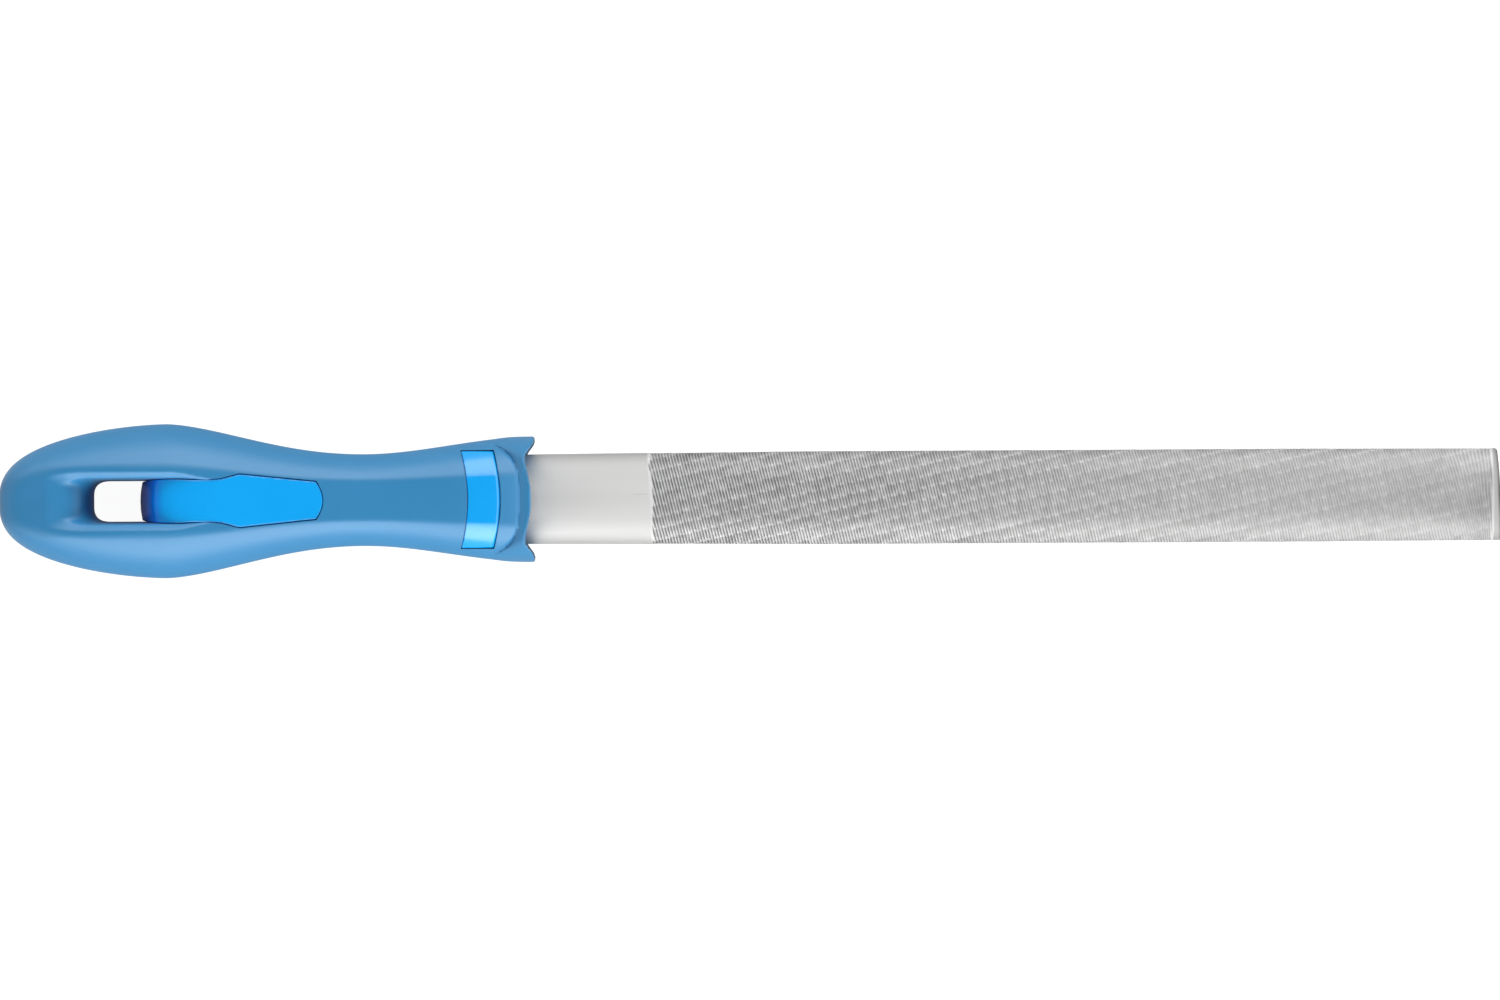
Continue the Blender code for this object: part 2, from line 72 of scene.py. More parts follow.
lens = bpy.data.cameras.new("camera")
lens.sensor_width = SENSOR_WIDTH_MM
lens.lens = SENSOR_WIDTH_MM * CAMERA_HEIGHT / VIEW_WIDTH
lens.clip_end = CAMERA_REACH
camera = bpy.data.objects.new("camera", lens)
camera.location = (*VIEW_MIDDLE, CAMERA_HEIGHT)
camera.rotation_euler = (0, 0, CAMERA_TURN)
scene.collection.objects.link(camera)
scene.camera = camera


# A wide soft box stands on either side of the file and lights it all over, and a low one lights the
# butt of the handle. Shiny parts don't show these, but a low strip on either side, and a white card
# held close above the blade.
def soft_box(name, place, size, radiance, in_gloss):
    """An even lamp, turned to the nearest point on the file's axis. It either shows in gloss alone
    or lights everything without showing in gloss."""
    lamp = bpy.data.lights.new(name, "AREA")
    lamp.shape = "RECTANGLE"
    lamp.size, lamp.size_y = size
    lamp.energy = radiance * math.pi * size[0] * size[1]
    box = bpy.data.objects.new(name, lamp)
    box.visible_camera = False
    box.visible_diffuse = not in_gloss
    box.visible_glossy = in_gloss
    box.location = place
    nearest = Vector((max(place[0], cad_box[0].x), 0, 0))
    aim = nearest - Vector(place)
    box.rotation_euler = aim.to_track_quat("-Z", "Y").to_euler()
    scene.collection.objects.link(box)


soft_box("near_soft_box", (0.18, -1.00, 0.46), (0.90, 0.65), 8.7, in_gloss=False)
soft_box("near_gleam", (0.04, -1.05, 0.29), (1.5, 0.50), 1.80, in_gloss=True)
soft_box("far_soft_box", (0.18, 1.00, 0.46), (0.90, 0.60), 7.1, in_gloss=False)
soft_box("far_gleam", (0.04, 1.05, 0.29), (1.5, 0.50), 0.60, in_gloss=True)
soft_box("butt_soft_box", (-0.90, 0, 0.13), (0.50, 0.24), 4.0, in_gloss=False)
soft_box("card_over_blade", (0.136, 0.00, 0.060), (0.292, 0.072), 1.10, in_gloss=True)


# Round the stage stands a white room, which the camera sees as plain white. It lights the file, and
# shows in its gloss, from the two sides more than from above and from the ends.
ROOM_LIGHT = (0.03, 0.45)
ROOM_SHINE = (0.08, 1.25)
ROOM_SIDES = (0.15, 0.60)


class Nodes:
    """Writes a tree of nodes. What node() returns can be worked with like a number."""

    def __init__(self, tree):
        self.tree = tree

    def node(self, kind, settings=None, sockets=None, output=0):
        """Adds a node: its settings first, then the values or links of its sockets."""
        made = self.tree.nodes.new(kind)
        for name, value in (settings or {}).items():
            setattr(made, name, value)
        for name, value in (sockets or {}).items():
            if isinstance(value, Output):
                self.tree.links.new(value.socket, made.inputs[name])
            else:
                made.inputs[name].default_value = value
        return Output(self, made.outputs[output])

    def math(self, operation, *values):
        return self.node("ShaderNodeMath", {"operation": operation}, dict(enumerate(values)))

    def blend(self, share, low, high):
        """Mixes two colours."""
        low, high = [c if isinstance(c, Output) else (*c, 1) for c in (low, high)]
        sockets = {0: share, 6: low, 7: high}
        return self.node("ShaderNodeMix", {"data_type": "RGBA"}, sockets, 2)

    def noise(self, place, scale, detail=2):
        sockets = {"Vector": place, "Scale": scale, "Detail": detail}
        return self.node("ShaderNodeTexNoise", {}, sockets)

    def ramp(self, value, low, high):
        """Eases from 0 to 1 as a value goes from low to high."""
        settings = {"interpolation_type": "SMOOTHSTEP"}
        sockets = {"Value": value, "From Min": low, "From Max": high}
        return self.node("ShaderNodeMapRange", settings, sockets)

    def stretched(self, place, scales):
        """The place, stretched by a scale for each axis."""
        return self.node("ShaderNodeVectorMath", {"operation": "MULTIPLY"}, {0: place, 1: scales})

    def bump(self, height, distance, strength, below=None):
        """A normal that shows some relief, and the relief below it if there is one."""
        sockets = {"Strength": strength, "Distance": distance, "Height": height}
        if below:
            sockets["Normal"] = below
        return self.node("ShaderNodeBump", {}, sockets)


class Output:
    """A node's output. Sums with it add Math nodes to its tree."""

    def __init__(self, nodes, socket):
        self.nodes, self.socket = nodes, socket

    def __add__(self, other):
        return self.nodes.math("ADD", self, other)

    def __sub__(self, other):
        return self.nodes.math("SUBTRACT", self, other)

    def __rsub__(self, other):
        return self.nodes.math("SUBTRACT", other, self)

    def __mul__(self, other):
        return self.nodes.math("MULTIPLY", self, other)

    def __truediv__(self, other):
        return self.nodes.math("DIVIDE", self, other)

    def __rtruediv__(self, other):
        return self.nodes.math("DIVIDE", other, self)

    __radd__ = __add__
    __rmul__ = __mul__


def new_material(name):
    """A material with its Principled shader and a writer for its other nodes."""
    made = bpy.data.materials.new(name)
    made.use_nodes = True
    nodes = Nodes(made.node_tree)
    shader = made.node_tree.nodes["Principled BSDF"]
    return made, nodes, shader


def light_path(nodes, ray):
    """1 for one kind of ray and 0 for the others."""
    return nodes.node("ShaderNodeLightPath", {}, {}, ray)


world = bpy.data.worlds.new("white room")
scene.world = world
world.use_nodes = True
room = Nodes(world.node_tree)
facing = room.node("ShaderNodeTexCoord", {}, {}, "Generated")
sideways = room.node("ShaderNodeSeparateXYZ", {}, {0: facing}, "Y")
aside = room.ramp(room.math("ABSOLUTE", sideways), *ROOM_SIDES)
lit = ROOM_LIGHT[0] + aside * (ROOM_LIGHT[1] - ROOM_LIGHT[0])
shine = ROOM_SHINE[0] + aside * (ROOM_SHINE[1] - ROOM_SHINE[0])
strength = lit + light_path(room, "Is Glossy Ray") * (shine - lit)
seen, seen_through = light_path(room, "Is Camera Ray"), light_path(room, "Is Transmission Ray")
clear = room.math("MAXIMUM", seen, seen_through)
strength = strength + clear * (1 - strength)
background = world.node_tree.nodes["Background"]
background.inputs["Color"].default_value = (1, 1, 1, 1)
world.node_tree.links.new(strength.socket, background.inputs["Strength"])

# The floor is a sheet of white card. The camera sees it lifted almost to plain white, and it keeps
# the file's faint soft shadow.
FLOOR_REACH = 3.0
FLOOR_DARK = (0.22, 0.22, 0.22)
FLOOR_LIGHT = (0.23, 0.23, 0.23)
FLOOR_LIFT = 0.95
FLOOR_SHINE = 0.10
sheet = bpy.data.meshes.new("floor")
corners = [(-FLOOR_REACH, -FLOOR_REACH), (FLOOR_REACH, -FLOOR_REACH)]
corners += [(-x, -y) for x, y in corners]
sheet.from_pydata([(x, y, cad_box[0].z) for x, y in corners], [], [(0, 1, 2, 3)])
floor = bpy.data.objects.new("floor", sheet)
scene.collection.objects.link(floor)
white, nodes, shader = new_material("white sheet")
grain = nodes.noise(nodes.node("ShaderNodeTexCoord", {}, {}, "Object"), 90, 3)
shade = nodes.blend(grain, FLOOR_DARK, FLOOR_LIGHT)
white.node_tree.links.new(shade.socket, shader.inputs["Base Color"])
shader.inputs["Roughness"].default_value = 0.9
shader.inputs["Specular IOR Level"].default_value = 0.1
shader.inputs["Emission Strength"].default_value = 1
lift = light_path(nodes, "Is Camera Ray") * FLOOR_LIFT
lift = lift + light_path(nodes, "Is Glossy Ray") * FLOOR_SHINE
glow = nodes.blend(lift, (0, 0, 0), (1, 1, 1))
white.node_tree.links.new(glow.socket, shader.inputs["Emission Color"])
sheet.materials.append(white)


# The file is one forging of hard steel, ground half-round and left plain at its heel. Its cuts
# lean a little off square, in narrow strips that run slightly askew, and stop short of the tip.

# The blade, the shoulders and the tang.
BLADE_LENGTH = 0.2500
BLADE_WIDTH = 0.0240
HEEL_WIDTH = 0.0229
TIP_WIDTH = 0.0236
BLADE_THICKNESS = 0.0070
TIP_THICKNESS = 0.0067
EDGE_THICKNESS = 0.0013
TIP_ROUND = 0.0009
TIP_SKEW = 0.0005
WIDEST_FROM_SHARE = 0.30
WIDEST_TO_SHARE = 0.80
SHOULDER = -0.0032
SHOULDER_RUN = 0.0050
TANG_LENGTH = 0.0640
TANG_ROOT = (0.0115, 0.0062)
TANG_END = (0.0052, 0.0034)
TANG_CHAMFER = 0.0010
TANG_EDGE_SHARE = 0.80
AXIS_HEIGHT = BLADE_THICKNESS / 2
TIP = SHOULDER + BLADE_LENGTH
SHOULDER_WIDTH_SHARE = 0.38
SHOULDER_EDGE_SHARE = 0.45

# The cuts: where they lie, how they lean, and how unevenly their strips meet.
CUTS_FROM = 0.0293
CUTS_TO = TIP - 0.0016
CUTS_START_LEAN = 0.05
CUTS_START_RAGGED = 0.0010
RUN_IN = 0.0007
RUN_OUT = 0.0008
LEAN_FROM = CUTS_FROM - 0.0040
LEAN_END_RUN = 0.0120
PITCH_AT_HEEL = 0.00078
PITCH_AT_TIP = 0.00074
CUT_LEAN = 0.247
CUT_DEPTH = 0.00030
CUT_POWER = 0.8
CUT_WANDER = 0.60
STRIP_WIDTH = 0.0030
STRIP_LEAN = 0.235
STRIP_SHIFT = 0.16
STRIP_LUCK = 0.12
SEAM_SHARES = (0.42, 0.49)
SEAM_FILL = 0.65
SEAM_LEAST = 0.10
SEAM_LUCK = 0.45
SEAM_PATCH = 0.45
PATCH_SCALE = 160
WANDER_SCALE = 500

# How finely the blade is divided, along it and round it, and where its shading breaks.
COLUMNS_PER_CUT = 3
HEEL_COLUMNS = 24
TIP_COLUMNS = 6
BLADE_ROWS = (46, 2, 34)
BLANK_SHARP_ANGLE = math.radians(40)
CUT_SHARP_ANGLE = math.radians(32)

# The greys of the steel, and its streaks, clouds, scratches and specks, with painted light on the
# teeth and painted shade in the grooves and at the tip.
HEEL_DARK = (0.50, 0.50, 0.495)
HEEL_LIGHT = (0.54, 0.54, 0.535)
HEEL_CLOUD = (0.61, 0.61, 0.60)
HEEL_SCRATCH = (0.36, 0.36, 0.355)
# Painted shade: the plain strip at the tip is darkened, over a short run.
TIP_PAINTED_SHADE = (0.41, 0.41, 0.405)
TIP_PAINTED_SHADE_RUN = 0.0010
TEETH_DARK = (0.51, 0.51, 0.51)
TEETH_LIGHT = (0.65, 0.65, 0.65)
# Painted light: the teeth are paler away from the middle, towards both edges.
TEETH_PAINTED_LIGHT = (0.95, 0.95, 0.95)
TEETH_SPECK = (0.90, 0.90, 0.90)
# Painted shade in the grooves of the cuts, darkest where they are deepest.
GROOVE_PAINTED_SHADE = (0.12, 0.12, 0.12)
PAINTED_LIGHT_FROM_MIDDLE = (0.004, 0.011)
TEETH_FROM = (CUTS_FROM - 0.0003, CUTS_FROM + 0.0006)
TEETH_BEFORE_END = (-0.0002, 0.0006)
STREAK_SCALES = (60, 1800, 1800)
CLOUD_SCALES = (110, 190, 190)
SCRATCH_SCALES = (70, 1500, 1500)
SPECK_SCALE = 2200
STREAK_RELIEF = 0.00002
SPECK_RELIEF = 0.00003
STEEL_ROUGHNESS = 0.46


def eased(share):
    """Turns an even run from 0 to 1 into one that starts and ends softly."""
    return share * share * (3 - 2 * share)


def mix(low, high, share):
    return low + (high - low) * share


def skewed(x, y):
    """The tip is sheared a little out of square, which dies away over one width of the blade."""
    share = np.clip(1 - (TIP - x) / BLADE_WIDTH, 0, 1)
    return x - TIP_SKEW * share * y / (TIP_WIDTH / 2)


def half_round(width, edge, thickness, base, rows):
    """A half-round outline as (y, z): over the arc, down one edge, back and up the other edge, with
    how many rows each of the arc, an edge and the flat is divided into."""
    arc_rows, edge_rows, flat_rows = rows
    half, rise = width / 2, thickness - edge
    radius = (half * half + rise * rise) / (2 * rise)
    spread = math.asin(half / radius)
    turn = np.linspace(-spread, spread, arc_rows + 1)
    y, z = radius * np.sin(turn), base + thickness - radius + radius * np.cos(turn)
    down = np.linspace(base + edge, base, edge_rows + 1)[1:]
    back = np.linspace(half, -half, flat_rows + 1)[1:]
    y = np.concatenate((y, np.full(edge_rows, half), back, np.full(edge_rows - 1, -half)))
    z = np.concatenate((z, down, np.full(flat_rows, base), down[-2::-1]))
    return y, z


def solid_of(name, rings):
    """A closed mesh through rings of equally many points, with a flat cap at each end."""
    rings = np.asarray(rings)
    count, size = rings.shape[:2]
    i = np.arange(size)
    j = (i + 1) % size
    faces = []
    for k in range(count - 1):
        low, high = k * size, (k + 1) * size
        faces += np.stack((low + i, low + j, high + j, high + i), 1).tolist()
    faces += [i.tolist(), ((count - 1) * size + i).tolist()]
    mesh = bpy.data.meshes.new(name)
    mesh.from_pydata(rings.reshape(-1, 3).tolist(), [], faces)
    shape = bmesh.new()
    shape.from_mesh(mesh)
    bmesh.ops.recalc_face_normals(shape, faces=shape.faces)
    shape.to_mesh(mesh)
    shape.free()
    return mesh


def cut_number(x):
    """How many cuts lie between the first one and a place along the blade's middle."""
    share = (x - CUTS_FROM) / (CUTS_TO - CUTS_FROM)
    rise = 1 / PITCH_AT_TIP - 1 / PITCH_AT_HEEL
    return (CUTS_TO - CUTS_FROM) * (share / PITCH_AT_HEEL + rise * share * share / 2)


def blade_columns():
    """Places along the blade, a few to each cut, closer at the rounded tip and wide at the heel."""
    samples = 4000
    places = np.linspace(LEAN_FROM, CUTS_TO, samples)
    numbers = cut_number(places)
    steps = np.arange(math.ceil(numbers[0] * COLUMNS_PER_CUT), numbers[-1] * COLUMNS_PER_CUT)
    cut = np.interp(steps / COLUMNS_PER_CUT, numbers, places)
    heel = np.linspace(SHOULDER, cut[0], HEEL_COLUMNS)[:-1]
    turn = np.linspace(0, math.pi / 2, TIP_COLUMNS)
    tip = TIP - TIP_ROUND * (1 - np.sin(turn))
    return np.concatenate((heel, cut, tip))


def blade_rings():
    """The blade's rings. They lean with the cuts, and straighten before the shoulder and tip."""
    stations = [SHOULDER, SHOULDER + BLADE_LENGTH * WIDEST_FROM_SHARE]
    stations += [SHOULDER + BLADE_LENGTH * WIDEST_TO_SHARE, TIP]
    rings = []
    for x in blade_columns():
        width = np.interp(x, stations, [HEEL_WIDTH, BLADE_WIDTH, BLADE_WIDTH, TIP_WIDTH])
        thickness = np.interp(x, stations[2:], [BLADE_THICKNESS, TIP_THICKNESS])
        inside = max(0, 1 - (TIP - x) / TIP_ROUND)
        drop = TIP_ROUND * (1 - math.sqrt(1 - inside * inside))
        y, z = half_round(width - 2 * drop, EDGE_THICKNESS, thickness - drop, 0, BLADE_ROWS)
        lean = CUT_LEAN * eased(min(1, (x - SHOULDER) / (LEAN_FROM - SHOULDER)))
        lean *= eased(min(1, (TIP - x) / LEAN_END_RUN))
        rings.append(np.stack((skewed(x, y) - lean * y, y, z), 1))
    return rings


def tang_rings(rows, grow=0.0, end_room=0.0):
    """The shoulders and the tang, back from the blade, or with grow the socket that takes them."""
    root, end = SHOULDER - SHOULDER_RUN, SHOULDER - TANG_LENGTH
    half_way_width = mix(TANG_ROOT[0], HEEL_WIDTH, SHOULDER_WIDTH_SHARE)
    half_way = (half_way_width, (BLADE_THICKNESS + TANG_ROOT[1]) / 2)
    last = (TANG_END[0] - TANG_CHAMFER, TANG_END[1] - TANG_CHAMFER)
    stations = [((SHOULDER + root) / 2, half_way, SHOULDER_EDGE_SHARE)]
    stations.append((root, TANG_ROOT, TANG_EDGE_SHARE))
    if end_room:
        stations.append((end - end_room, TANG_END, TANG_EDGE_SHARE))
    else:
        stations.append((end + TANG_CHAMFER, TANG_END, TANG_EDGE_SHARE))
        stations.append((end, last, TANG_EDGE_SHARE))
    rings = []
    for x, (width, thickness), edge_share in stations:
        base = AXIS_HEIGHT - thickness / 2 - grow
        edge, width, thickness = edge_share * thickness, width + 2 * grow, thickness + 2 * grow
        y, z = half_round(width, edge + 2 * grow, thickness, base, rows)
        rings.append(np.stack((np.full_like(y, x), y, z), 1))
    return rings


def cutting_tree():
    """Geometry Nodes that press the cuts into a smooth blade."""
    tree = bpy.data.node_groups.new("cuts of the file", "GeometryNodeTree")
    sizes = ("Cuts from", "Cuts to", "Depth", "Strip width", "Lean of strips")
    tree.interface.new_socket("Blade", in_out="INPUT", socket_type="NodeSocketGeometry")
    for name in sizes:
        tree.interface.new_socket(name, in_out="INPUT", socket_type="NodeSocketFloat")
    tree.interface.new_socket("Steel", in_out="INPUT", socket_type="NodeSocketMaterial")
    tree.interface.new_socket("Cut blade", in_out="OUTPUT", socket_type="NodeSocketGeometry")
    nodes = Nodes(tree)
    given = tree.nodes.new("NodeGroupInput")
    size = {socket.name: Output(nodes, socket) for socket in given.outputs}
    place = nodes.node("GeometryNodeInputPosition")
    x, y = [nodes.node("ShaderNodeSeparateXYZ", {}, {0: place}, axis) for axis in "XY"]
    normal = nodes.node("GeometryNodeInputNormal")

    number = nodes.node("GeometryNodeInputNamedAttribute", {"data_type": "FLOAT"}, {"Name": "cut"})
    strip = (y - x * size["Lean of strips"]) / size["Strip width"]
    strip_number = nodes.math("FLOOR", strip)
    across = strip - strip_number
    luck = nodes.node("ShaderNodeTexWhiteNoise", {"noise_dimensions": "1D"}, {"W": strip_number})
    phase = nodes.math("FRACT", number + (across * STRIP_SHIFT + luck * STRIP_LUCK))
    profile = nodes.math("POWER", phase, CUT_POWER)
    patch = nodes.noise(place, PATCH_SCALE)
    seam = nodes.ramp(nodes.math("ABSOLUTE", across - 0.5), *SEAM_SHARES)
    seam = seam * (SEAM_LEAST + luck * SEAM_LUCK + patch * SEAM_PATCH)
    wander = nodes.noise(place, WANDER_SCALE)
    start = x + y * CUTS_START_LEAN + (luck - 0.5) * CUTS_START_RAGGED
    begun = nodes.ramp(start, size["Cuts from"], size["Cuts from"] + RUN_IN)
    ended = nodes.ramp(size["Cuts to"] - x, 0, RUN_OUT)
    deep = profile * (1 - seam * SEAM_FILL) + (wander - 0.5) * CUT_WANDER
    deep = nodes.math("MAXIMUM", deep, 0.0) * begun * ended
    push = deep * size["Depth"] * -1
    offset = nodes.node("ShaderNodeVectorMath", {"operation": "SCALE"}, {0: normal, "Scale": push})
    moved = nodes.node("GeometryNodeSetPosition", {}, {"Geometry": size["Blade"], "Offset": offset})
    kept = {"Geometry": moved, "Name": "groove", "Value": deep}
    marked = nodes.node("GeometryNodeStoreNamedAttribute", {"data_type": "FLOAT"}, kept)
    real = nodes.node("GeometryNodeRealizeInstances", {}, {"Geometry": marked})
    done = nodes.node("GeometryNodeSetMaterial", {}, {"Geometry": real, "Material": size["Steel"]})
    result = tree.nodes.new("NodeGroupOutput")
    tree.links.new(done.socket, result.inputs[0])
    return tree


def steel_material():
    """Satin steel: streaks, clouds and a few scratches from grinding on the plain heel, and painted
    shade in the grooves between pale, finely speckled teeth where it is cut. Painted light makes
    the teeth palest beside the middle, and the painted shade in the grooves grows fainter towards
    the tip.
    Painted shade also darkens the plain strip at the tip."""
    made, nodes, shader = new_material("file steel")
    place = nodes.node("ShaderNodeTexCoord", {}, {}, "Object")
    x, y = [nodes.node("ShaderNodeSeparateXYZ", {}, {0: place}, axis) for axis in "XY"]
    cut = nodes.ramp(x + y * CUTS_START_LEAN, *TEETH_FROM)
    cut = cut * nodes.ramp(CUTS_TO - x, *TEETH_BEFORE_END)
    streaks = nodes.noise(nodes.stretched(place, STREAK_SCALES), 1, 3)
    clouds = nodes.noise(nodes.stretched(place, CLOUD_SCALES), 1, 4)
    scratches = nodes.noise(nodes.stretched(place, SCRATCH_SCALES), 1)
    specks = nodes.noise(place, SPECK_SCALE)

    plain = nodes.blend(streaks, HEEL_DARK, HEEL_LIGHT)
    plain = nodes.blend(clouds * 0.35, plain, HEEL_CLOUD)
    plain = nodes.blend(nodes.ramp(scratches, 0.69, 0.74) * 0.5, plain, HEEL_SCRATCH)
    # Painted shade darkens the plain strip at the tip.
    plain = nodes.blend(nodes.ramp(x, CUTS_TO - TIP_PAINTED_SHADE_RUN, CUTS_TO), plain, TIP_PAINTED_SHADE)

    worked = nodes.blend(clouds, TEETH_DARK, TEETH_LIGHT)
    # Painted light makes the teeth paler away from the middle.
    teeth_light = nodes.ramp(nodes.math("ABSOLUTE", y), *PAINTED_LIGHT_FROM_MIDDLE)
    worked = nodes.blend(teeth_light * 0.55, worked, TEETH_PAINTED_LIGHT)
    worked = nodes.blend(nodes.ramp(specks, 0.55, 0.75) * 0.3, worked, TEETH_SPECK)
    # Painted shade in the grooves, by their depth, fainter towards the tip.
    groove = nodes.node("ShaderNodeAttribute", {"attribute_name": "groove"}, {}, "Fac")
    fainter = nodes.ramp(x, CUTS_FROM, CUTS_TO) * 0.45
    worked = nodes.blend(nodes.ramp(groove, 0.1, 0.9) * (0.85 - fainter), worked, GROOVE_PAINTED_SHADE)

    colour = nodes.blend(cut, plain, worked)
    roughness = STEEL_ROUGHNESS + streaks * 0.08 + clouds * 0.06
    fine = nodes.bump(streaks, STREAK_RELIEF, 0.5)
    fine = nodes.bump(specks * cut, SPECK_RELIEF, 0.6, fine)
    links = made.node_tree.links
    links.new(colour.socket, shader.inputs["Base Color"])
    links.new(roughness.socket, shader.inputs["Roughness"])
    links.new(fine.socket, shader.inputs["Normal"])
    shader.inputs["Metallic"].default_value = 1.0
    return made


def make_file():
    """The file in one mesh: a smooth blank, into which the cuts are pressed."""
    tang = tang_rings(BLADE_ROWS)[::-1]
    rings = tang + blade_rings()
    blank = bpy.data.objects.new("blank", solid_of("blank", rings))
    numbers = np.concatenate((np.zeros(len(tang)), cut_number(blade_columns())))
    numbers = np.repeat(numbers, len(rings[0]))
    blank.data.attributes.new("cut", "FLOAT", "POINT").data.foreach_set("value", numbers)
    scene.collection.objects.link(blank)
    blank.data.shade_smooth()
    blank.data.set_sharp_from_angle(angle=BLANK_SHARP_ANGLE)
    tree = cutting_tree()
    step = blank.modifiers.new("cuts", "NODES")
    step.node_group = tree
    given = {
        "Cuts from": CUTS_FROM,
        "Cuts to": CUTS_TO,
        "Depth": CUT_DEPTH,
        "Strip width": STRIP_WIDTH,
        "Lean of strips": STRIP_LEAN,
        "Steel": steel_material(),
    }
    for item in tree.interface.items_tree:
        if item.name in given:
            step[item.identifier] = given[item.name]
    evaluated = blank.evaluated_get(bpy.context.evaluated_depsgraph_get())
    mesh = bpy.data.meshes.new_from_object(evaluated)
    bpy.data.objects.remove(blank)
    mesh.set_sharp_from_angle(angle=CUT_SHARP_ANGLE)
    piece = bpy.data.objects.new("file", mesh)
    scene.collection.objects.link(piece)
    return piece


file_piece = make_file()
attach(file_piece, "file")
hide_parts("file_blade")


# The core of the handle is hard, glossy bright blue plastic. Its tongue rises from the hanging
# slot, and a curved tag shows behind the guard on each face. The rest is hidden in the grip.

# The outside of the handle. Widths and thicknesses are those at the belly, the neck and the collar.
HANDLE_LENGTH = 0.1370
BELLY_AT = 0.0430
NECK_AT = 0.0935
WIDTHS = (0.0394, 0.0235, 0.0321)
THICKNESSES = (0.0284, 0.0194, 0.0250)
FLAT_SHARES = ((0, 0.60), (BELLY_AT, 0.45), (NECK_AT, 0.44), (HANDLE_LENGTH, 0.40))
SWELL_POWER = 2.7
SWELL_REST_POWER = 1.7
FALL_POWER = 0.8
SIDE_POWER = 1.75
CRISPNESS = ((0, 7.0), (0.010, 14.0), (0.020, 70.0))
INNER_CRISPNESS = 50
TAG_CRISPNESS = 160
LEAST_SLOPE = 25

# The hidden core: its gaps, its body, the loop round the slot, and the socket of the tang.
SKIN_THICKNESS = 0.0022
FIT_GAP = 0.0003
SEAM = 0.00015
CORE_REAR = 0.0600
CORE_FRONT = HANDLE_LENGTH - 0.0052
LOOP_REAR = 0.0142
LOOP_HALF_WIDTH = 0.0126
LOOP_BAR = 0.0042
LOOP_HALF_THICKNESS = 0.0045
LOOP_WEB_AT = 0.0380
LOOP_OVERLAP = 0.0040
SOCKET_ROWS = (18, 1, 8)
SOCKET_OVERRUN = 0.0040
SOCKET_END_ROOM = 0.0020

# The slot, the tongue that rises from it, and the tags behind the guard.
SLOT_HALF_WIDTH = 0.00515
SLOT_REAR = 0.0243
SLOT_FRONT = 0.0360
TONGUE_RISE_RUN = 0.0200
TONGUE_RISE_POWERS = (4.0, 2.0)
NOSE_RUN = 0.0068
NOSE_BOW = 0.0006
NOSE_POWERS = (1.2, 1.2)
RISE_BLEND = 0.0006
NOSE_BLEND = 0.0004
TONGUE_ROUND = 0.0004
WALL_DRAFT = 0.055
FUNNEL_FADE = (0.0440, 0.0585)
TONGUE_SIDE = ((0.0280, 0.00515), (0.0500, 0.00515), (0.0572, 0.00575), (0.0620, 0.0070))
TONGUE_END = (0.0815, 0.0050, 0.0018)
TAG_HALF_WIDTH = 0.0126
TAG_PLACE = (HANDLE_LENGTH - 0.0170, HANDLE_LENGTH - 0.0084)
TAG_BOW = 0.0019
TAG_FOOT = 0.0048
TAG_ROUNDS = (0.0003, 0.0011)
PAD_RECESS = 0.0002

# Each part is drawn on a grid along, across and up the handle: its reach, and its steps.
BODY_GRID = ((0.0585, 0.1330), (-0.0185, 0.0185), (-0.0131, 0.0131))
BODY_STEPS = ((0.0010,), (0.0010,), (0.0010,))
LOOP_GRID = ((0.0131, 0.0650), (-0.0135, 0.0135), (-0.0131, 0.0131))
LOOP_STEPS = ((0.0010,), (0.0009,), (0.0010,))
TONGUE_GRID = ((0.0352, 0.0845), (-0.0076, 0.0076), (-0.0150, -0.0080, 0.0080, 0.0150))
TONGUE_STEPS = ((0.00036,), (0.00036,), (0.00036, 0.0010, 0.00036))
TAG_GRID = ((0.1165, 0.1300), (-0.0134, 0.0134), (0.0040, 0.0085, 0.0132))
TAG_STEPS = ((0.00032,), (0.00032,), (0.0008, 0.00032))

# The blues of the hard plastic, and how far in front of the slot they change. The nose's deep
# blues are painted shade.
CLEAR_BLUE = (0.000, 0.385, 0.940)
CLEAR_BLUE_CLOUD = (0.000, 0.415, 0.980)
# Painted shade: the blue darkens towards the tongue's nose, over a few millimetres in front of the
# slot.
NOSE_PAINTED_SHADE = (0.0, 0.09, 0.50)
NOSE_PAINTED_HALF_SHADE = (0.0, 0.25, 0.96)
NOSE_SHADE_TO_HALF = (0, 0.0045)
NOSE_SHADE_ENDS = (0.0040, 0.0070)
PEEL_RELIEF = 0.00003
PLASTIC_ROUGHNESS = 0.18


def smooth_max(first, second, blend):
    """The larger of two fields, rounded where they cross."""
    near = np.clip(blend - np.abs(first - second), 0, None) / blend
    return np.maximum(first, second) + near * near * blend / 4


def from_table(table, at):
    """Reads a table of (place, value) pairs, easing from each pair to the next."""
    value = np.full_like(at, table[0][1])
    for (low, low_value), (high, high_value) in zip(table, table[1:]):
        value += (high_value - low_value) * eased(np.clip((at - low) / (high - low), 0, 1))
    return value


def along(at, at_belly, at_neck, at_collar):
    """A size that eases from its value at the belly to the neck's, and on to the collar's."""
    fall = np.clip((at - BELLY_AT) / (NECK_AT - BELLY_AT), 0, 1) ** FALL_POWER
    rise = eased(np.clip((at - NECK_AT) / (HANDLE_LENGTH - NECK_AT), 0, 1))
    return mix(mix(at_neck, at_belly, (1 + np.cos(math.pi * fall)) / 2), at_collar, rise)


def section(at):
    """Half the width, half the thickness, and how high the rounded sides would meet."""
    half_width, half_flat = along(at, *WIDTHS) / 2, along(at, *THICKNESSES) / 2
    flat_share = from_table(FLAT_SHARES, at)
    crown = half_flat / (1 - flat_share ** SIDE_POWER) ** (1 / SIDE_POWER)
    return half_width, half_flat, crown


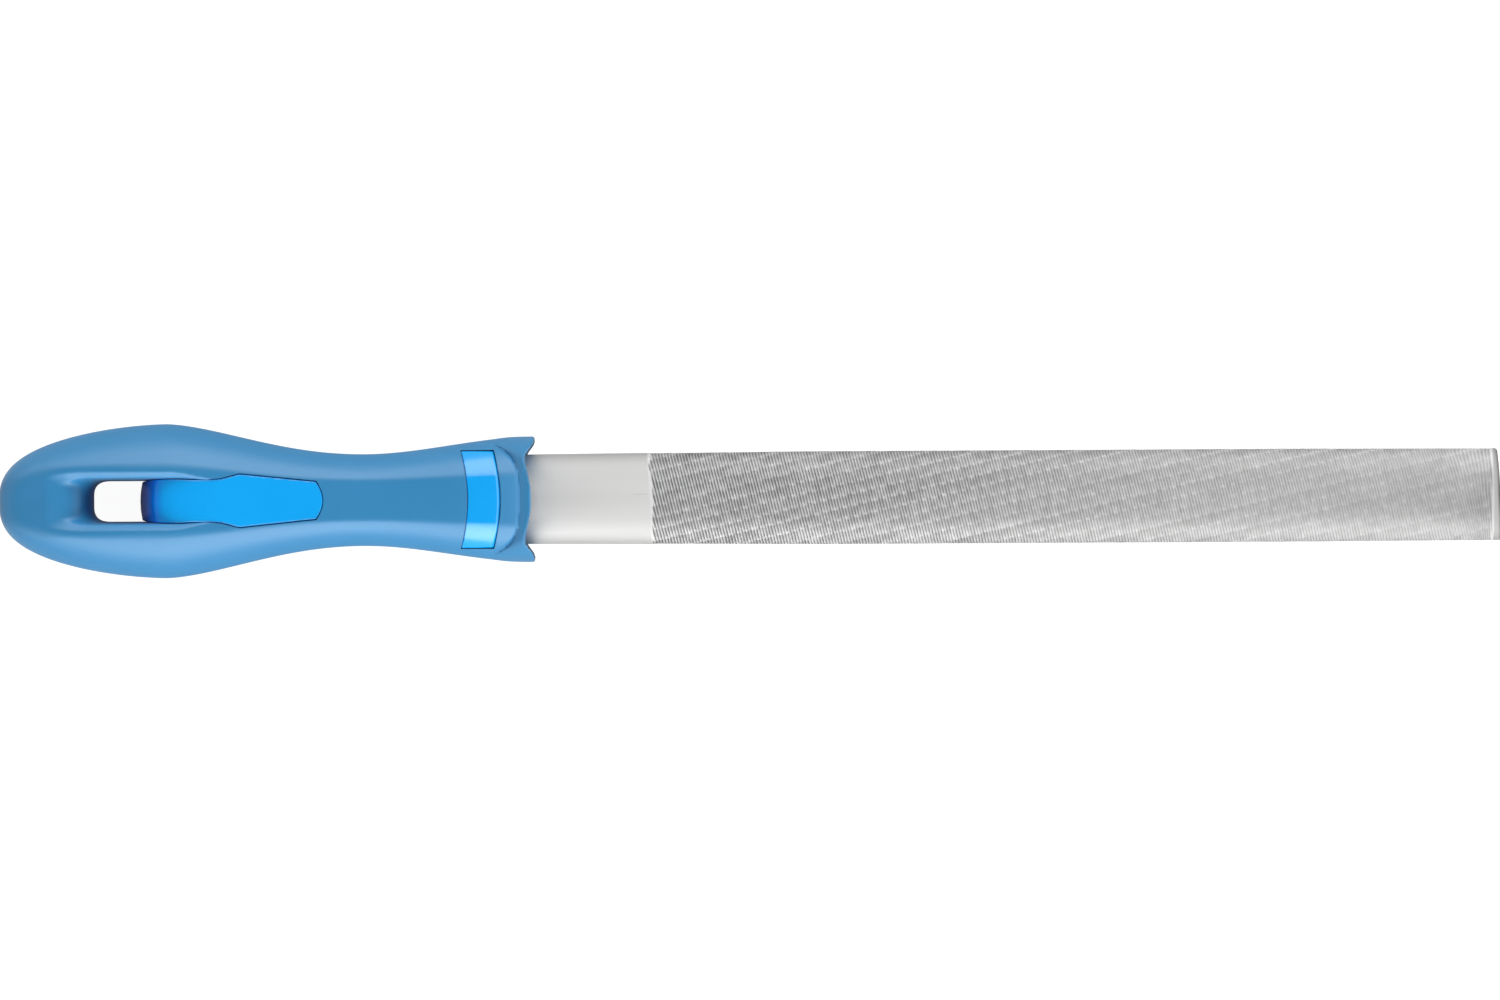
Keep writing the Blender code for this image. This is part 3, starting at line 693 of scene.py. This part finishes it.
def body_field(at, y, z, crispness=None):
    """About how far a point lies outside the handle's plain body, which has flats above and below
    and round sides. Its place is measured along from the butt, and y and z from the axis."""
    if crispness is None:
        crispness = from_table(CRISPNESS, at)
    half_width, half_flat, crown = section(at)
    rest = np.clip(1 - at / BELLY_AT, 0, None)
    across, up = np.abs(y) / half_width + 1e-9, np.abs(z) / crown + 1e-9
    side = (across ** SIDE_POWER + up ** SIDE_POWER) ** (1 / SIDE_POWER)
    flat = np.abs(z) / half_flat
    more = np.maximum(side, flat)
    ring = more * ((side / more) ** crispness + (flat / more) ** crispness) ** (1 / crispness)
    steep_y = (across / side) ** (SIDE_POWER - 1) / half_width
    steep_z = (up / side) ** (SIDE_POWER - 1) / crown
    steep = np.where(side > flat, np.hypot(steep_y, steep_z), 1 / half_flat)
    back = SWELL_REST_POWER * rest ** (SWELL_REST_POWER - 1) / BELLY_AT
    level = ring ** SWELL_POWER + rest ** SWELL_REST_POWER - 1
    slope = np.hypot(SWELL_POWER * ring ** (SWELL_POWER - 1) * steep, back)
    return level / np.maximum(slope, LEAST_SLOPE)


def inner_body(at, y, z):
    """The hidden body of the core, inside the skin of the grip."""
    body = body_field(at, y, z, INNER_CRISPNESS) + SKIN_THICKNESS
    return np.maximum(body, np.maximum(CORE_REAR - at, at - CORE_FRONT))


def inner_loop(at, y, z):
    """The hidden loop that the core carries round the slot."""
    middle = LOOP_REAR + LOOP_HALF_WIDTH
    reach = np.hypot(np.clip(middle - at, 0, None), y)
    hole = np.maximum(reach - LOOP_HALF_WIDTH + LOOP_BAR, at - LOOP_WEB_AT)
    loop = np.maximum(reach - LOOP_HALF_WIDTH, at - CORE_REAR - LOOP_OVERLAP)
    return np.maximum(np.maximum(loop, -hole), np.abs(z) - LOOP_HALF_THICKNESS)


def inner_solids(name, grow):
    """The hidden body and loop, grown all round by a gap for the space they leave in the grip."""

    def body(at, y, z):
        return inner_body(at, y, z) - grow

    def loop(at, y, z):
        return inner_loop(at, y, z) - grow

    body_skin = skin_of(f"{name}_body", body, planes_of(BODY_GRID, BODY_STEPS))
    loop_skin = skin_of(f"{name}_loop", loop, planes_of(LOOP_GRID, LOOP_STEPS))
    return [placed(body_skin), placed(loop_skin)]


def outline_distance(outline, at, y):
    """How far a point lies outside a closed outline in plan."""
    nearest = np.full(np.shape(at + y), 1e9)
    inside = np.zeros(nearest.shape, bool)
    for (x1, y1), (x2, y2) in zip(outline, outline[1:] + outline[:1]):
        dx, dy = x2 - x1, y2 - y1
        share = np.clip(((at - x1) * dx + (y - y1) * dy) / (dx * dx + dy * dy), 0, 1)
        nearest = np.minimum(nearest, np.hypot(at - x1 - share * dx, y - y1 - share * dy))
        crosses = ((y1 > y) != (y2 > y)) & (at < x1 + dx * (y - y1) / (dy or 1e-12))
        inside ^= crosses
    return np.where(inside, -nearest, nearest)


def bowed(place, half_width, bow, steps=12):
    """An end edge across the handle, from left to right, bowed to the front."""
    edge = []
    for i in range(steps + 1):
        y = mix(half_width, -half_width, i / steps)
        edge.append((place + bow * (1 - (y / half_width) ** 2), y))
    return edge


def tongue_outline(grow):
    side = [(x, y + grow) for x, y in TONGUE_SIDE]
    place, half_width, bow = TONGUE_END
    end = bowed(place + grow, half_width + grow, bow)
    return side + end + [(x, -y) for x, y in reversed(side)]


def tag_outline(grow):
    rear, front = TAG_PLACE
    half_width = TAG_HALF_WIDTH + grow
    front_edge = bowed(front + grow - TAG_BOW, half_width, TAG_BOW)
    return front_edge + bowed(rear - grow - TAG_BOW, half_width, TAG_BOW)[::-1]


def rise_field(at, y, z, run, powers):
    """About how far a point lies outside a rounded rise, which starts at the front of the slot and
    reaches the handle's face after some run."""
    top = float(section(np.array(SLOT_FRONT + run))[1])
    bow = NOSE_BOW * (y / SLOT_HALF_WIDTH) ** 2
    ahead = np.clip(SLOT_FRONT + run + bow - at, 0, None) / run
    up = np.abs(z) / top + 1e-9
    level = ahead ** powers[0] + up ** powers[1] - 1
    steep = powers[0] * (ahead + 1e-9) ** (powers[0] - 1) / run
    slope = np.hypot(steep, powers[1] * up ** (powers[1] - 1) / top)
    inside = -0.01
    return np.where(ahead > 0, level / np.maximum(slope, LEAST_SLOPE), inside)


def funnel_fade(at):
    """0 along the slot, where its walls slope, easing to 1 where the grip closes in front of it."""
    rear, front = FUNNEL_FADE
    return eased(np.clip((at - rear) / (front - rear), 0, 1))


def tongue_field(at, y, z):
    """The tongue: its outline, the face of the handle, a long rise, and a steep nose."""
    outline = outline_distance(tongue_outline(-SEAM), at, y)
    outline = outline - WALL_DRAFT * np.abs(z) * (1 - funnel_fade(at))
    rise = rise_field(at, y, z, TONGUE_RISE_RUN, TONGUE_RISE_POWERS)
    nose = rise_field(at, y, z, NOSE_RUN, NOSE_POWERS)
    face = smooth_max(body_field(at, y, z) + PAD_RECESS, rise, RISE_BLEND)
    return smooth_max(smooth_max(face, nose, NOSE_BLEND), outline, TONGUE_ROUND)


def tag_field(at, y, z):
    """The tag above: its outline, the face of the handle, and edges that are rounder in front."""
    rear, front = TAG_PLACE
    rounding = mix(*TAG_ROUNDS, np.clip((at - rear) / (front - rear), 0, 1) ** 2)
    outline = outline_distance(tag_outline(-SEAM), at, y)
    face = body_field(at, y, z, TAG_CRISPNESS) + PAD_RECESS
    return smooth_max(np.maximum(face, TAG_FOOT - z), outline, rounding)


def spaced(places, spacings):
    """Grid planes from the first place to the last, with a spacing between each two places."""
    planes = [np.array([places[0]])]
    for low, high, spacing in zip(places, places[1:], spacings):
        count = max(1, round((high - low) / spacing))
        planes.append(np.linspace(low, high, count + 1)[1:])
    return np.concatenate(planes)


def planes_of(grid, steps):
    return [spaced(places, spacings) for places, spacings in zip(grid, steps)]


def skin_of(name, field, planes):
    """A closed mesh of the surface where a field is 0. Each edge of the grid that crosses it gives
    one face, with its corners in the four cells round that edge, each amid its cell's crossings. In
    the end the corners are drawn onto the surface."""
    value = field(*np.meshgrid(*planes, indexing="ij", sparse=True))
    inside = value < 0
    cells = tuple(n - 1 for n in value.shape)
    total, hits = np.zeros(cells + (3,)), np.zeros(cells)
    quads = []
    for axis in range(3):
        low = [slice(None)] * 3
        high = [slice(None)] * 3
        low[axis], high[axis] = slice(None, -1), slice(1, None)
        low, high = tuple(low), tuple(high)
        edge = np.argwhere(inside[low] != inside[high])
        step = np.zeros(3, int)
        step[axis] = 1
        ends = edge + step
        before, after = value[tuple(edge.T)], value[tuple(ends.T)]
        share = before / (before - after)
        point = np.stack([planes[k][edge[:, k]] for k in range(3)], 1)
        gap = planes[axis][ends[:, axis]] - planes[axis][edge[:, axis]]
        point[:, axis] += share * gap
        first, second = (axis + 1) % 3, (axis + 2) % 3
        ring = []
        for back_first, back_second in ((1, 1), (0, 1), (0, 0), (1, 0)):
            cell = edge.copy()
            cell[:, first] -= back_first
            cell[:, second] -= back_second
            np.add.at(total, tuple(cell.T), point)
            np.add.at(hits, tuple(cell.T), 1)
            ring.append(np.ravel_multi_index(tuple(cell.T), cells))
        ring = np.stack(ring, 1)
        turned = ~inside[tuple(edge.T)]
        ring[turned] = ring[turned][:, ::-1]
        quads.append(ring)
    used = np.flatnonzero(hits.ravel())
    number = np.full(hits.size, -1)
    number[used] = np.arange(len(used))
    points = (total.reshape(-1, 3)[used].T / hits.ravel()[used]).T
    for _ in range(3):
        points = drawn_onto(field, points)
    mesh = bpy.data.meshes.new(name)
    mesh.from_pydata(points.tolist(), [], number[np.concatenate(quads)].tolist())
    return mesh


def slope_of(field, points):
    """The direction and steepness of a field's rise at some points."""
    reach = 0.00002
    slope = np.zeros_like(points)
    for axis, step in enumerate(np.eye(3) * reach):
        ahead, behind = points + step, points - step
        slope[:, axis] = (field(*ahead.T) - field(*behind.T)) / (2 * reach)
    return slope


def drawn_onto(field, points):
    """Moves points onto the surface where a field is 0, each by a short step at most."""
    least_steep, longest = 0.05, 0.0003
    slope = slope_of(field, points)
    steep = np.maximum((slope * slope).sum(1), least_steep)
    move = slope * (field(*points.T) / steep)[:, None]
    far = np.linalg.norm(move, axis=1, keepdims=True)
    return points - move * np.minimum(1, longest / np.maximum(far, 1e-9))


def placed(mesh):
    """Moves a mesh drawn about the handle's axis from its butt into the file's own frame."""
    piece = bpy.data.objects.new(mesh.name, mesh)
    mesh.transform(Matrix.Translation((-HANDLE_LENGTH, 0, AXIS_HEIGHT)))
    scene.collection.objects.link(piece)
    return piece


def combined(piece, operation, tools):
    """Joins or cuts a piece with others, which are used up."""
    for tool in tools:
        step = piece.modifiers.new(tool.name, "BOOLEAN")
        step.operation, step.object, step.solver = operation, tool, "MANIFOLD"
    evaluated = piece.evaluated_get(bpy.context.evaluated_depsgraph_get())
    mesh = bpy.data.meshes.new_from_object(evaluated)
    piece.modifiers.clear()
    piece.data = mesh
    for tool in tools:
        bpy.data.objects.remove(tool)


def socket_shape():
    """The tang's space in the core, with its clearance, open to the front."""
    heel = [size + 2 * FIT_GAP for size in (HEEL_WIDTH, EDGE_THICKNESS, BLADE_THICKNESS)]
    y, z = half_round(*heel, -FIT_GAP, SOCKET_ROWS)
    mouth = [np.stack((np.full_like(y, x), y, z), 1) for x in (SOCKET_OVERRUN, SHOULDER)]
    mesh = solid_of("socket", mouth + tang_rings(SOCKET_ROWS, FIT_GAP, SOCKET_END_ROOM))
    piece = bpy.data.objects.new("socket", mesh)
    scene.collection.objects.link(piece)
    return piece


def smoothed(mesh, field):
    """Shades the faces that lie on a field's surface with the field's own slope, and the others
    flat, so that cut edges stay crisp."""
    close, alike = 0.00006, 0.80
    count = len(mesh.vertices)
    points = np.empty(count * 3)
    mesh.vertices.foreach_get("co", points)
    points = points.reshape(-1, 3) + (HANDLE_LENGTH, 0, -AXIS_HEIGHT)
    slope = slope_of(field, points)
    slope /= np.maximum(np.linalg.norm(slope, axis=1, keepdims=True), 1e-9)
    on_it = np.abs(field(*points.T)) < close
    face_normals = np.empty(len(mesh.polygons) * 3)
    mesh.polygons.foreach_get("normal", face_normals)
    sizes = np.empty(len(mesh.polygons), int)
    mesh.polygons.foreach_get("loop_total", sizes)
    flat = np.repeat(face_normals.reshape(-1, 3), sizes, 0)
    owner = np.empty(len(mesh.loops), int)
    mesh.loops.foreach_get("vertex_index", owner)
    agree = (slope[owner] * flat).sum(1) > alike
    chosen = np.where((on_it[owner] & agree)[:, None], slope[owner], flat)
    mesh.shade_smooth()
    mesh.normals_split_custom_set(chosen.tolist())


def hard_plastic():
    """Glossy moulded plastic: a clear bright blue, with painted shade that deepens it towards the
    tongue's nose.
    """
    made, nodes, shader = new_material("hard blue plastic")
    place = nodes.node("ShaderNodeTexCoord", {}, {}, "Object")
    clouds = nodes.noise(place, 70, 3)
    peel = nodes.noise(place, 900)
    x = nodes.node("ShaderNodeSeparateXYZ", {}, {0: place}, "X")
    from_nose = x - (SLOT_FRONT - HANDLE_LENGTH)
    clear = nodes.blend(clouds, CLEAR_BLUE, CLEAR_BLUE_CLOUD)
    # Painted shade deepens the blue towards the tongue's nose.
    nose_shade = nodes.blend(nodes.ramp(from_nose, *NOSE_SHADE_TO_HALF), NOSE_PAINTED_SHADE, NOSE_PAINTED_HALF_SHADE)
    colour = nodes.blend(nodes.ramp(from_nose, *NOSE_SHADE_ENDS), nose_shade, clear)
    links = made.node_tree.links
    links.new(colour.socket, shader.inputs["Base Color"])
    links.new((PLASTIC_ROUGHNESS + clouds * 0.06).socket, shader.inputs["Roughness"])
    shader.inputs["IOR"].default_value = 1.6
    shader.inputs["Specular IOR Level"].default_value = 1.0
    links.new(nodes.bump(peel, PEEL_RELIEF, 0.4).socket, shader.inputs["Normal"])
    return made


def lower_tag_field(at, y, z):
    return tag_field(at, y, -z)


def shown_core_field(at, y, z):
    tags = np.minimum(tag_field(at, y, z), lower_tag_field(at, y, z))
    return np.minimum(tongue_field(at, y, z), tags)


def make_core():
    """The core in one mesh, with its tongue and two tags, and the socket cut into it."""
    core, loop = inner_solids("core", 0)
    tongue = placed(skin_of("tongue", tongue_field, planes_of(TONGUE_GRID, TONGUE_STEPS)))
    along_tag, across_tag, up_tag = planes_of(TAG_GRID, TAG_STEPS)
    down_tag = -up_tag[::-1]
    upper = placed(skin_of("upper_tag", tag_field, (along_tag, across_tag, up_tag)))
    lower = placed(skin_of("lower_tag", lower_tag_field, (along_tag, across_tag, down_tag)))
    combined(core, "UNION", [loop, tongue, upper, lower])
    combined(core, "DIFFERENCE", [socket_shape()])
    smoothed(core.data, shown_core_field)
    core.data.materials.clear()
    core.data.materials.append(hard_plastic())
    core.name = "core"
    return core


core_piece = make_core()
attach(core_piece, "handle")
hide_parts("handle_core")


# The grip is a soft grey-blue elastomer moulded over the core. It forms the waisted outside, the
# slot's sloping sides, the thumb ramps behind the slot, and the flared guard round the mouth.

# The guard: its lip, its wavy rim with two ears, the crease at its foot, and its dished face.
LIP_HALF_WIDTH = 0.01605
LIP_HALF_THICKNESS = 0.0140
LIP_POWER = 3.0
LIP_ROUND = 0.0007
LIP_BLEND_SHARE = 0.12
LIP_LAST_SHARE = 1.05
EAR_DEPTH = 0.0024
EAR_RUN = 0.0042
VALLEY_AT = 0.0107
VALLEY_POWER = 1.4
RIM_MIDDLE = 0.0007
RIM_FORWARD = 0.0002
RIM_SHARES = (0.60, 0.88)
RIM_LEAN_SHARE = 0.40
LIP_RUN = 0.0105
CREASE_MIDDLE = 0.0037
CREASE_END = (0.0136, 0.0060)
CREASE_POWER = 4.3
CREASE_FADES = (10, 25)
CREASE_DEPTH = 0.00035
CREASE_WIDTH = 0.00045
DISH_DEPTH = 0.0016
FRONT_SLOPE = 0.8

# The pocket in the mouth, the slot's sloping sides and its ramp, and the dip behind it.
POCKET_HALF_WIDTH = 0.0126
POCKET_HALF_HEIGHT = 0.0080
POCKET_POWER = 4
POCKET_ROUND = 0.0005
FUNNEL_HALF_WIDTH = 0.0074
FUNNEL_STEEPNESS = 0.9
FUNNEL_BLEND = 0.0003
RAMP_REAR = 0.0100
RAMP_POWER = 2.2
RAMP_BUTT_LIFT = 0.3
RAMP_LEAST_HEIGHT = 0.0020
RAMP_LEAST_SLOPE = 40
RAMP_FILLETS = (0.0006, 0.0038)
SLOT_ROUND = 0.00025
DIP_AT = 0.0085
DIP_SIZE = 0.0042
DIP_DEPTH = 0.0004
WINDOW_REACH = 0.0200

GRIP_GRID = (
    (-0.0010, 0.0060, 0.0340, 0.0480, 0.1100, 0.1380),
    (-0.0202, 0.0202),
    (-0.0146, 0.0146),
)
GRIP_STEPS = ((0.0003, 0.0004, 0.0006, 0.0009, 0.0004), (0.0005,), (0.0005,))

GRIP_BLUE = (0.022, 0.214, 0.448)
GRIP_BLUE_CLOUD = (0.032, 0.234, 0.488)
GRAIN_RELIEF = 0.00002
GRIP_ROUGHNESS = 0.34


def squarish(across, up, power):
    """How far out a point lies in a rounded square of half size 1."""
    return (across ** power + up ** power) ** (1 / power)


def body_height(at, y):
    """How high the plain body stands over the axis at a distance from its centre line."""
    half_width, half_flat, crown = section(at)
    rest = np.clip(1 - at / BELLY_AT, 0, 1)
    swell = np.clip(1 - rest ** SWELL_REST_POWER, 1e-6, 1) ** (1 / SWELL_POWER)
    share = np.clip(1 - (np.abs(y) / (half_width * swell)) ** SIDE_POWER, 0, 1)
    return swell * np.minimum(half_flat, crown * share ** (1 / SIDE_POWER))


def rim_place(y):
    """How far back the rim of the guard lies: it falls back from the middle into a valley on either
    side, and comes forward again in the two ears."""
    valley = np.clip(np.abs(y) / VALLEY_AT, 0, 1) ** VALLEY_POWER
    ear = eased(np.clip((np.abs(y) - VALLEY_AT) / EAR_RUN, 0, 1))
    back = mix(RIM_MIDDLE, EAR_DEPTH, (1 - np.cos(math.pi * valley)) / 2)
    return back * (1 - ear) - RIM_FORWARD


def guard_field(at, y, z):
    """The body with the lip of the guard, the crease at the lip's foot, the slight dip behind the
    slot, and the wavy rim and dished face that end it in front."""
    x = at - HANDLE_LENGTH
    y_size, z_size = np.abs(y) + 1e-7, np.abs(z) + 1e-7
    out = np.hypot(y_size, z_size)
    side, rise = y_size / out, z_size / out
    angle = np.degrees(np.arctan2(z_size, y_size))
    foot = CREASE_MIDDLE + CREASE_END[1] * (np.abs(y) / CREASE_END[0]) ** CREASE_POWER
    foot = -np.minimum(foot, LIP_RUN)
    edge = -rim_place(y)
    rim = edge - LIP_ROUND
    half_width, half_flat, crown = section(at)
    body = 1 / np.maximum(squarish(side / half_width, rise / crown, SIDE_POWER), rise / half_flat)
    lip = 1 / squarish(side / LIP_HALF_WIDTH, rise / LIP_HALF_THICKNESS, LIP_POWER)
    share = smooth_max((x - foot) / (rim - foot), 0.0, LIP_BLEND_SHARE)
    grown = 1 + np.clip(lip / body - 1, 0, None) * np.clip(share, 0, LIP_LAST_SHARE)
    outside = body_field(at, y / grown, z / grown)
    above = eased(np.interp(angle, CREASE_FADES, (0, 1)))
    crease = np.exp(-((x - foot) / CREASE_WIDTH) ** 2) * above
    outside = outside + CREASE_DEPTH * crease
    dip = np.exp(-((at - DIP_AT) / DIP_SIZE) ** 2 - (y / DIP_SIZE) ** 2)
    outside = outside + DIP_DEPTH * dip
    part = out / (body * grown)
    inner_rim = RIM_SHARES[1]
    near = mix(edge, -EAR_DEPTH, RIM_LEAN_SHARE)
    wall = mix(-EAR_DEPTH - DISH_DEPTH, near, np.interp(part, RIM_SHARES, (0, 1)))
    top = mix(near, edge, (part - inner_rim) / (1 - inner_rim))
    front = np.where(part > inner_rim, top, wall)
    return smooth_max(outside, (x - front) * FRONT_SLOPE, LIP_ROUND)


def slot_field(at, y, z):
    """The space of the hanging slot: its walls, their sloping tops, and the ramp down from the
    butt. The field is negative inside that space."""
    high = np.abs(z)
    fade = funnel_fade(at)
    width = mix(FUNNEL_HALF_WIDTH, SLOT_HALF_WIDTH, fade)
    drafted = SLOT_HALF_WIDTH + WALL_DRAFT * high * (1 - fade)
    floor = body_height(at, width) - (width - SLOT_HALF_WIDTH) * FUNNEL_STEEPNESS
    slope = np.abs(y) - SLOT_HALF_WIDTH - (high - floor) / FUNNEL_STEEPNESS
    slope = slope * math.cos(math.atan(1 / FUNNEL_STEEPNESS))
    walls = -smooth_max(-(np.abs(y) - drafted), -slope, FUNNEL_BLEND)
    walls = np.maximum(walls, at - FUNNEL_FADE[1])
    top = np.maximum(body_height(at, 0), RAMP_LEAST_HEIGHT)
    run = SLOT_REAR - RAMP_REAR
    share, up = np.clip((at - RAMP_REAR) / run, 0, None), high / top
    lift = RAMP_BUTT_LIFT * np.clip((RAMP_REAR - at) / run, 0, None)
    level = share ** RAMP_POWER + up ** 2 - 1 - lift
    steep = np.hypot(RAMP_POWER * share ** (RAMP_POWER - 1) / run, 2 * up / top)
    ramp = -level / np.maximum(steep, RAMP_LEAST_SLOPE)
    return smooth_max(walls, ramp, mix(*RAMP_FILLETS, np.clip(share, 0, 1)))


def grip_field(at, y, z):
    """The outside of the grip, with the pocket in its mouth and the hanging slot taken out."""
    across, up = np.abs(y) / POCKET_HALF_WIDTH, np.abs(z) / POCKET_HALF_HEIGHT
    pocket = (squarish(across, up, POCKET_POWER) - 1) * POCKET_HALF_HEIGHT
    pocket = np.maximum(pocket, CORE_FRONT - FIT_GAP - at)
    solid = smooth_max(guard_field(at, y, z), -pocket, POCKET_ROUND)
    return smooth_max(solid, -slot_field(at, y, z), SLOT_ROUND)


def prism(name, outline, low, high):
    """An upright block with some outline in plan, between two heights from the axis."""
    rings = [[(x, y, z) for x, y in outline] for z in (low, high)]
    return placed(solid_of(name, rings))


def soft_plastic():
    """Satin elastomer: a greyish mid blue, a little cloudy, with a fine moulded grain."""
    made, nodes, shader = new_material("soft blue grip")
    place = nodes.node("ShaderNodeTexCoord", {}, {}, "Object")
    clouds = nodes.noise(place, 60, 4)
    grain = nodes.noise(place, 2600)
    colour = nodes.blend(clouds, GRIP_BLUE, GRIP_BLUE_CLOUD)
    links = made.node_tree.links
    links.new(colour.socket, shader.inputs["Base Color"])
    links.new((GRIP_ROUGHNESS + clouds * 0.08).socket, shader.inputs["Roughness"])
    shader.inputs["IOR"].default_value = 1.6
    shader.inputs["Specular IOR Level"].default_value = 0.7
    shader.inputs["Sheen Weight"].default_value = 0.27
    shader.inputs["Sheen Roughness"].default_value = 0.45
    links.new(nodes.bump(grain, GRAIN_RELIEF, 0.5).socket, shader.inputs["Normal"])
    return made


def make_grip():
    """The grip in one mesh, with the space of the core and the windows for its tongue and tags."""
    grip = placed(skin_of("grip", grip_field, planes_of(GRIP_GRID, GRIP_STEPS)))
    windows = [
        prism("tongue_window", tongue_outline(0), -WINDOW_REACH, WINDOW_REACH),
        prism("upper_window", tag_outline(0), TAG_FOOT - FIT_GAP, WINDOW_REACH),
        prism("lower_window", tag_outline(0), -WINDOW_REACH, FIT_GAP - TAG_FOOT),
    ]
    combined(grip, "DIFFERENCE", inner_solids("cavity", FIT_GAP) + windows)
    smoothed(grip.data, grip_field)
    grip.data.materials.clear()
    grip.data.materials.append(soft_plastic())
    grip.name = "grip"
    return grip


grip_piece = make_grip()
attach(grip_piece, "handle")
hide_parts("soft_grip")
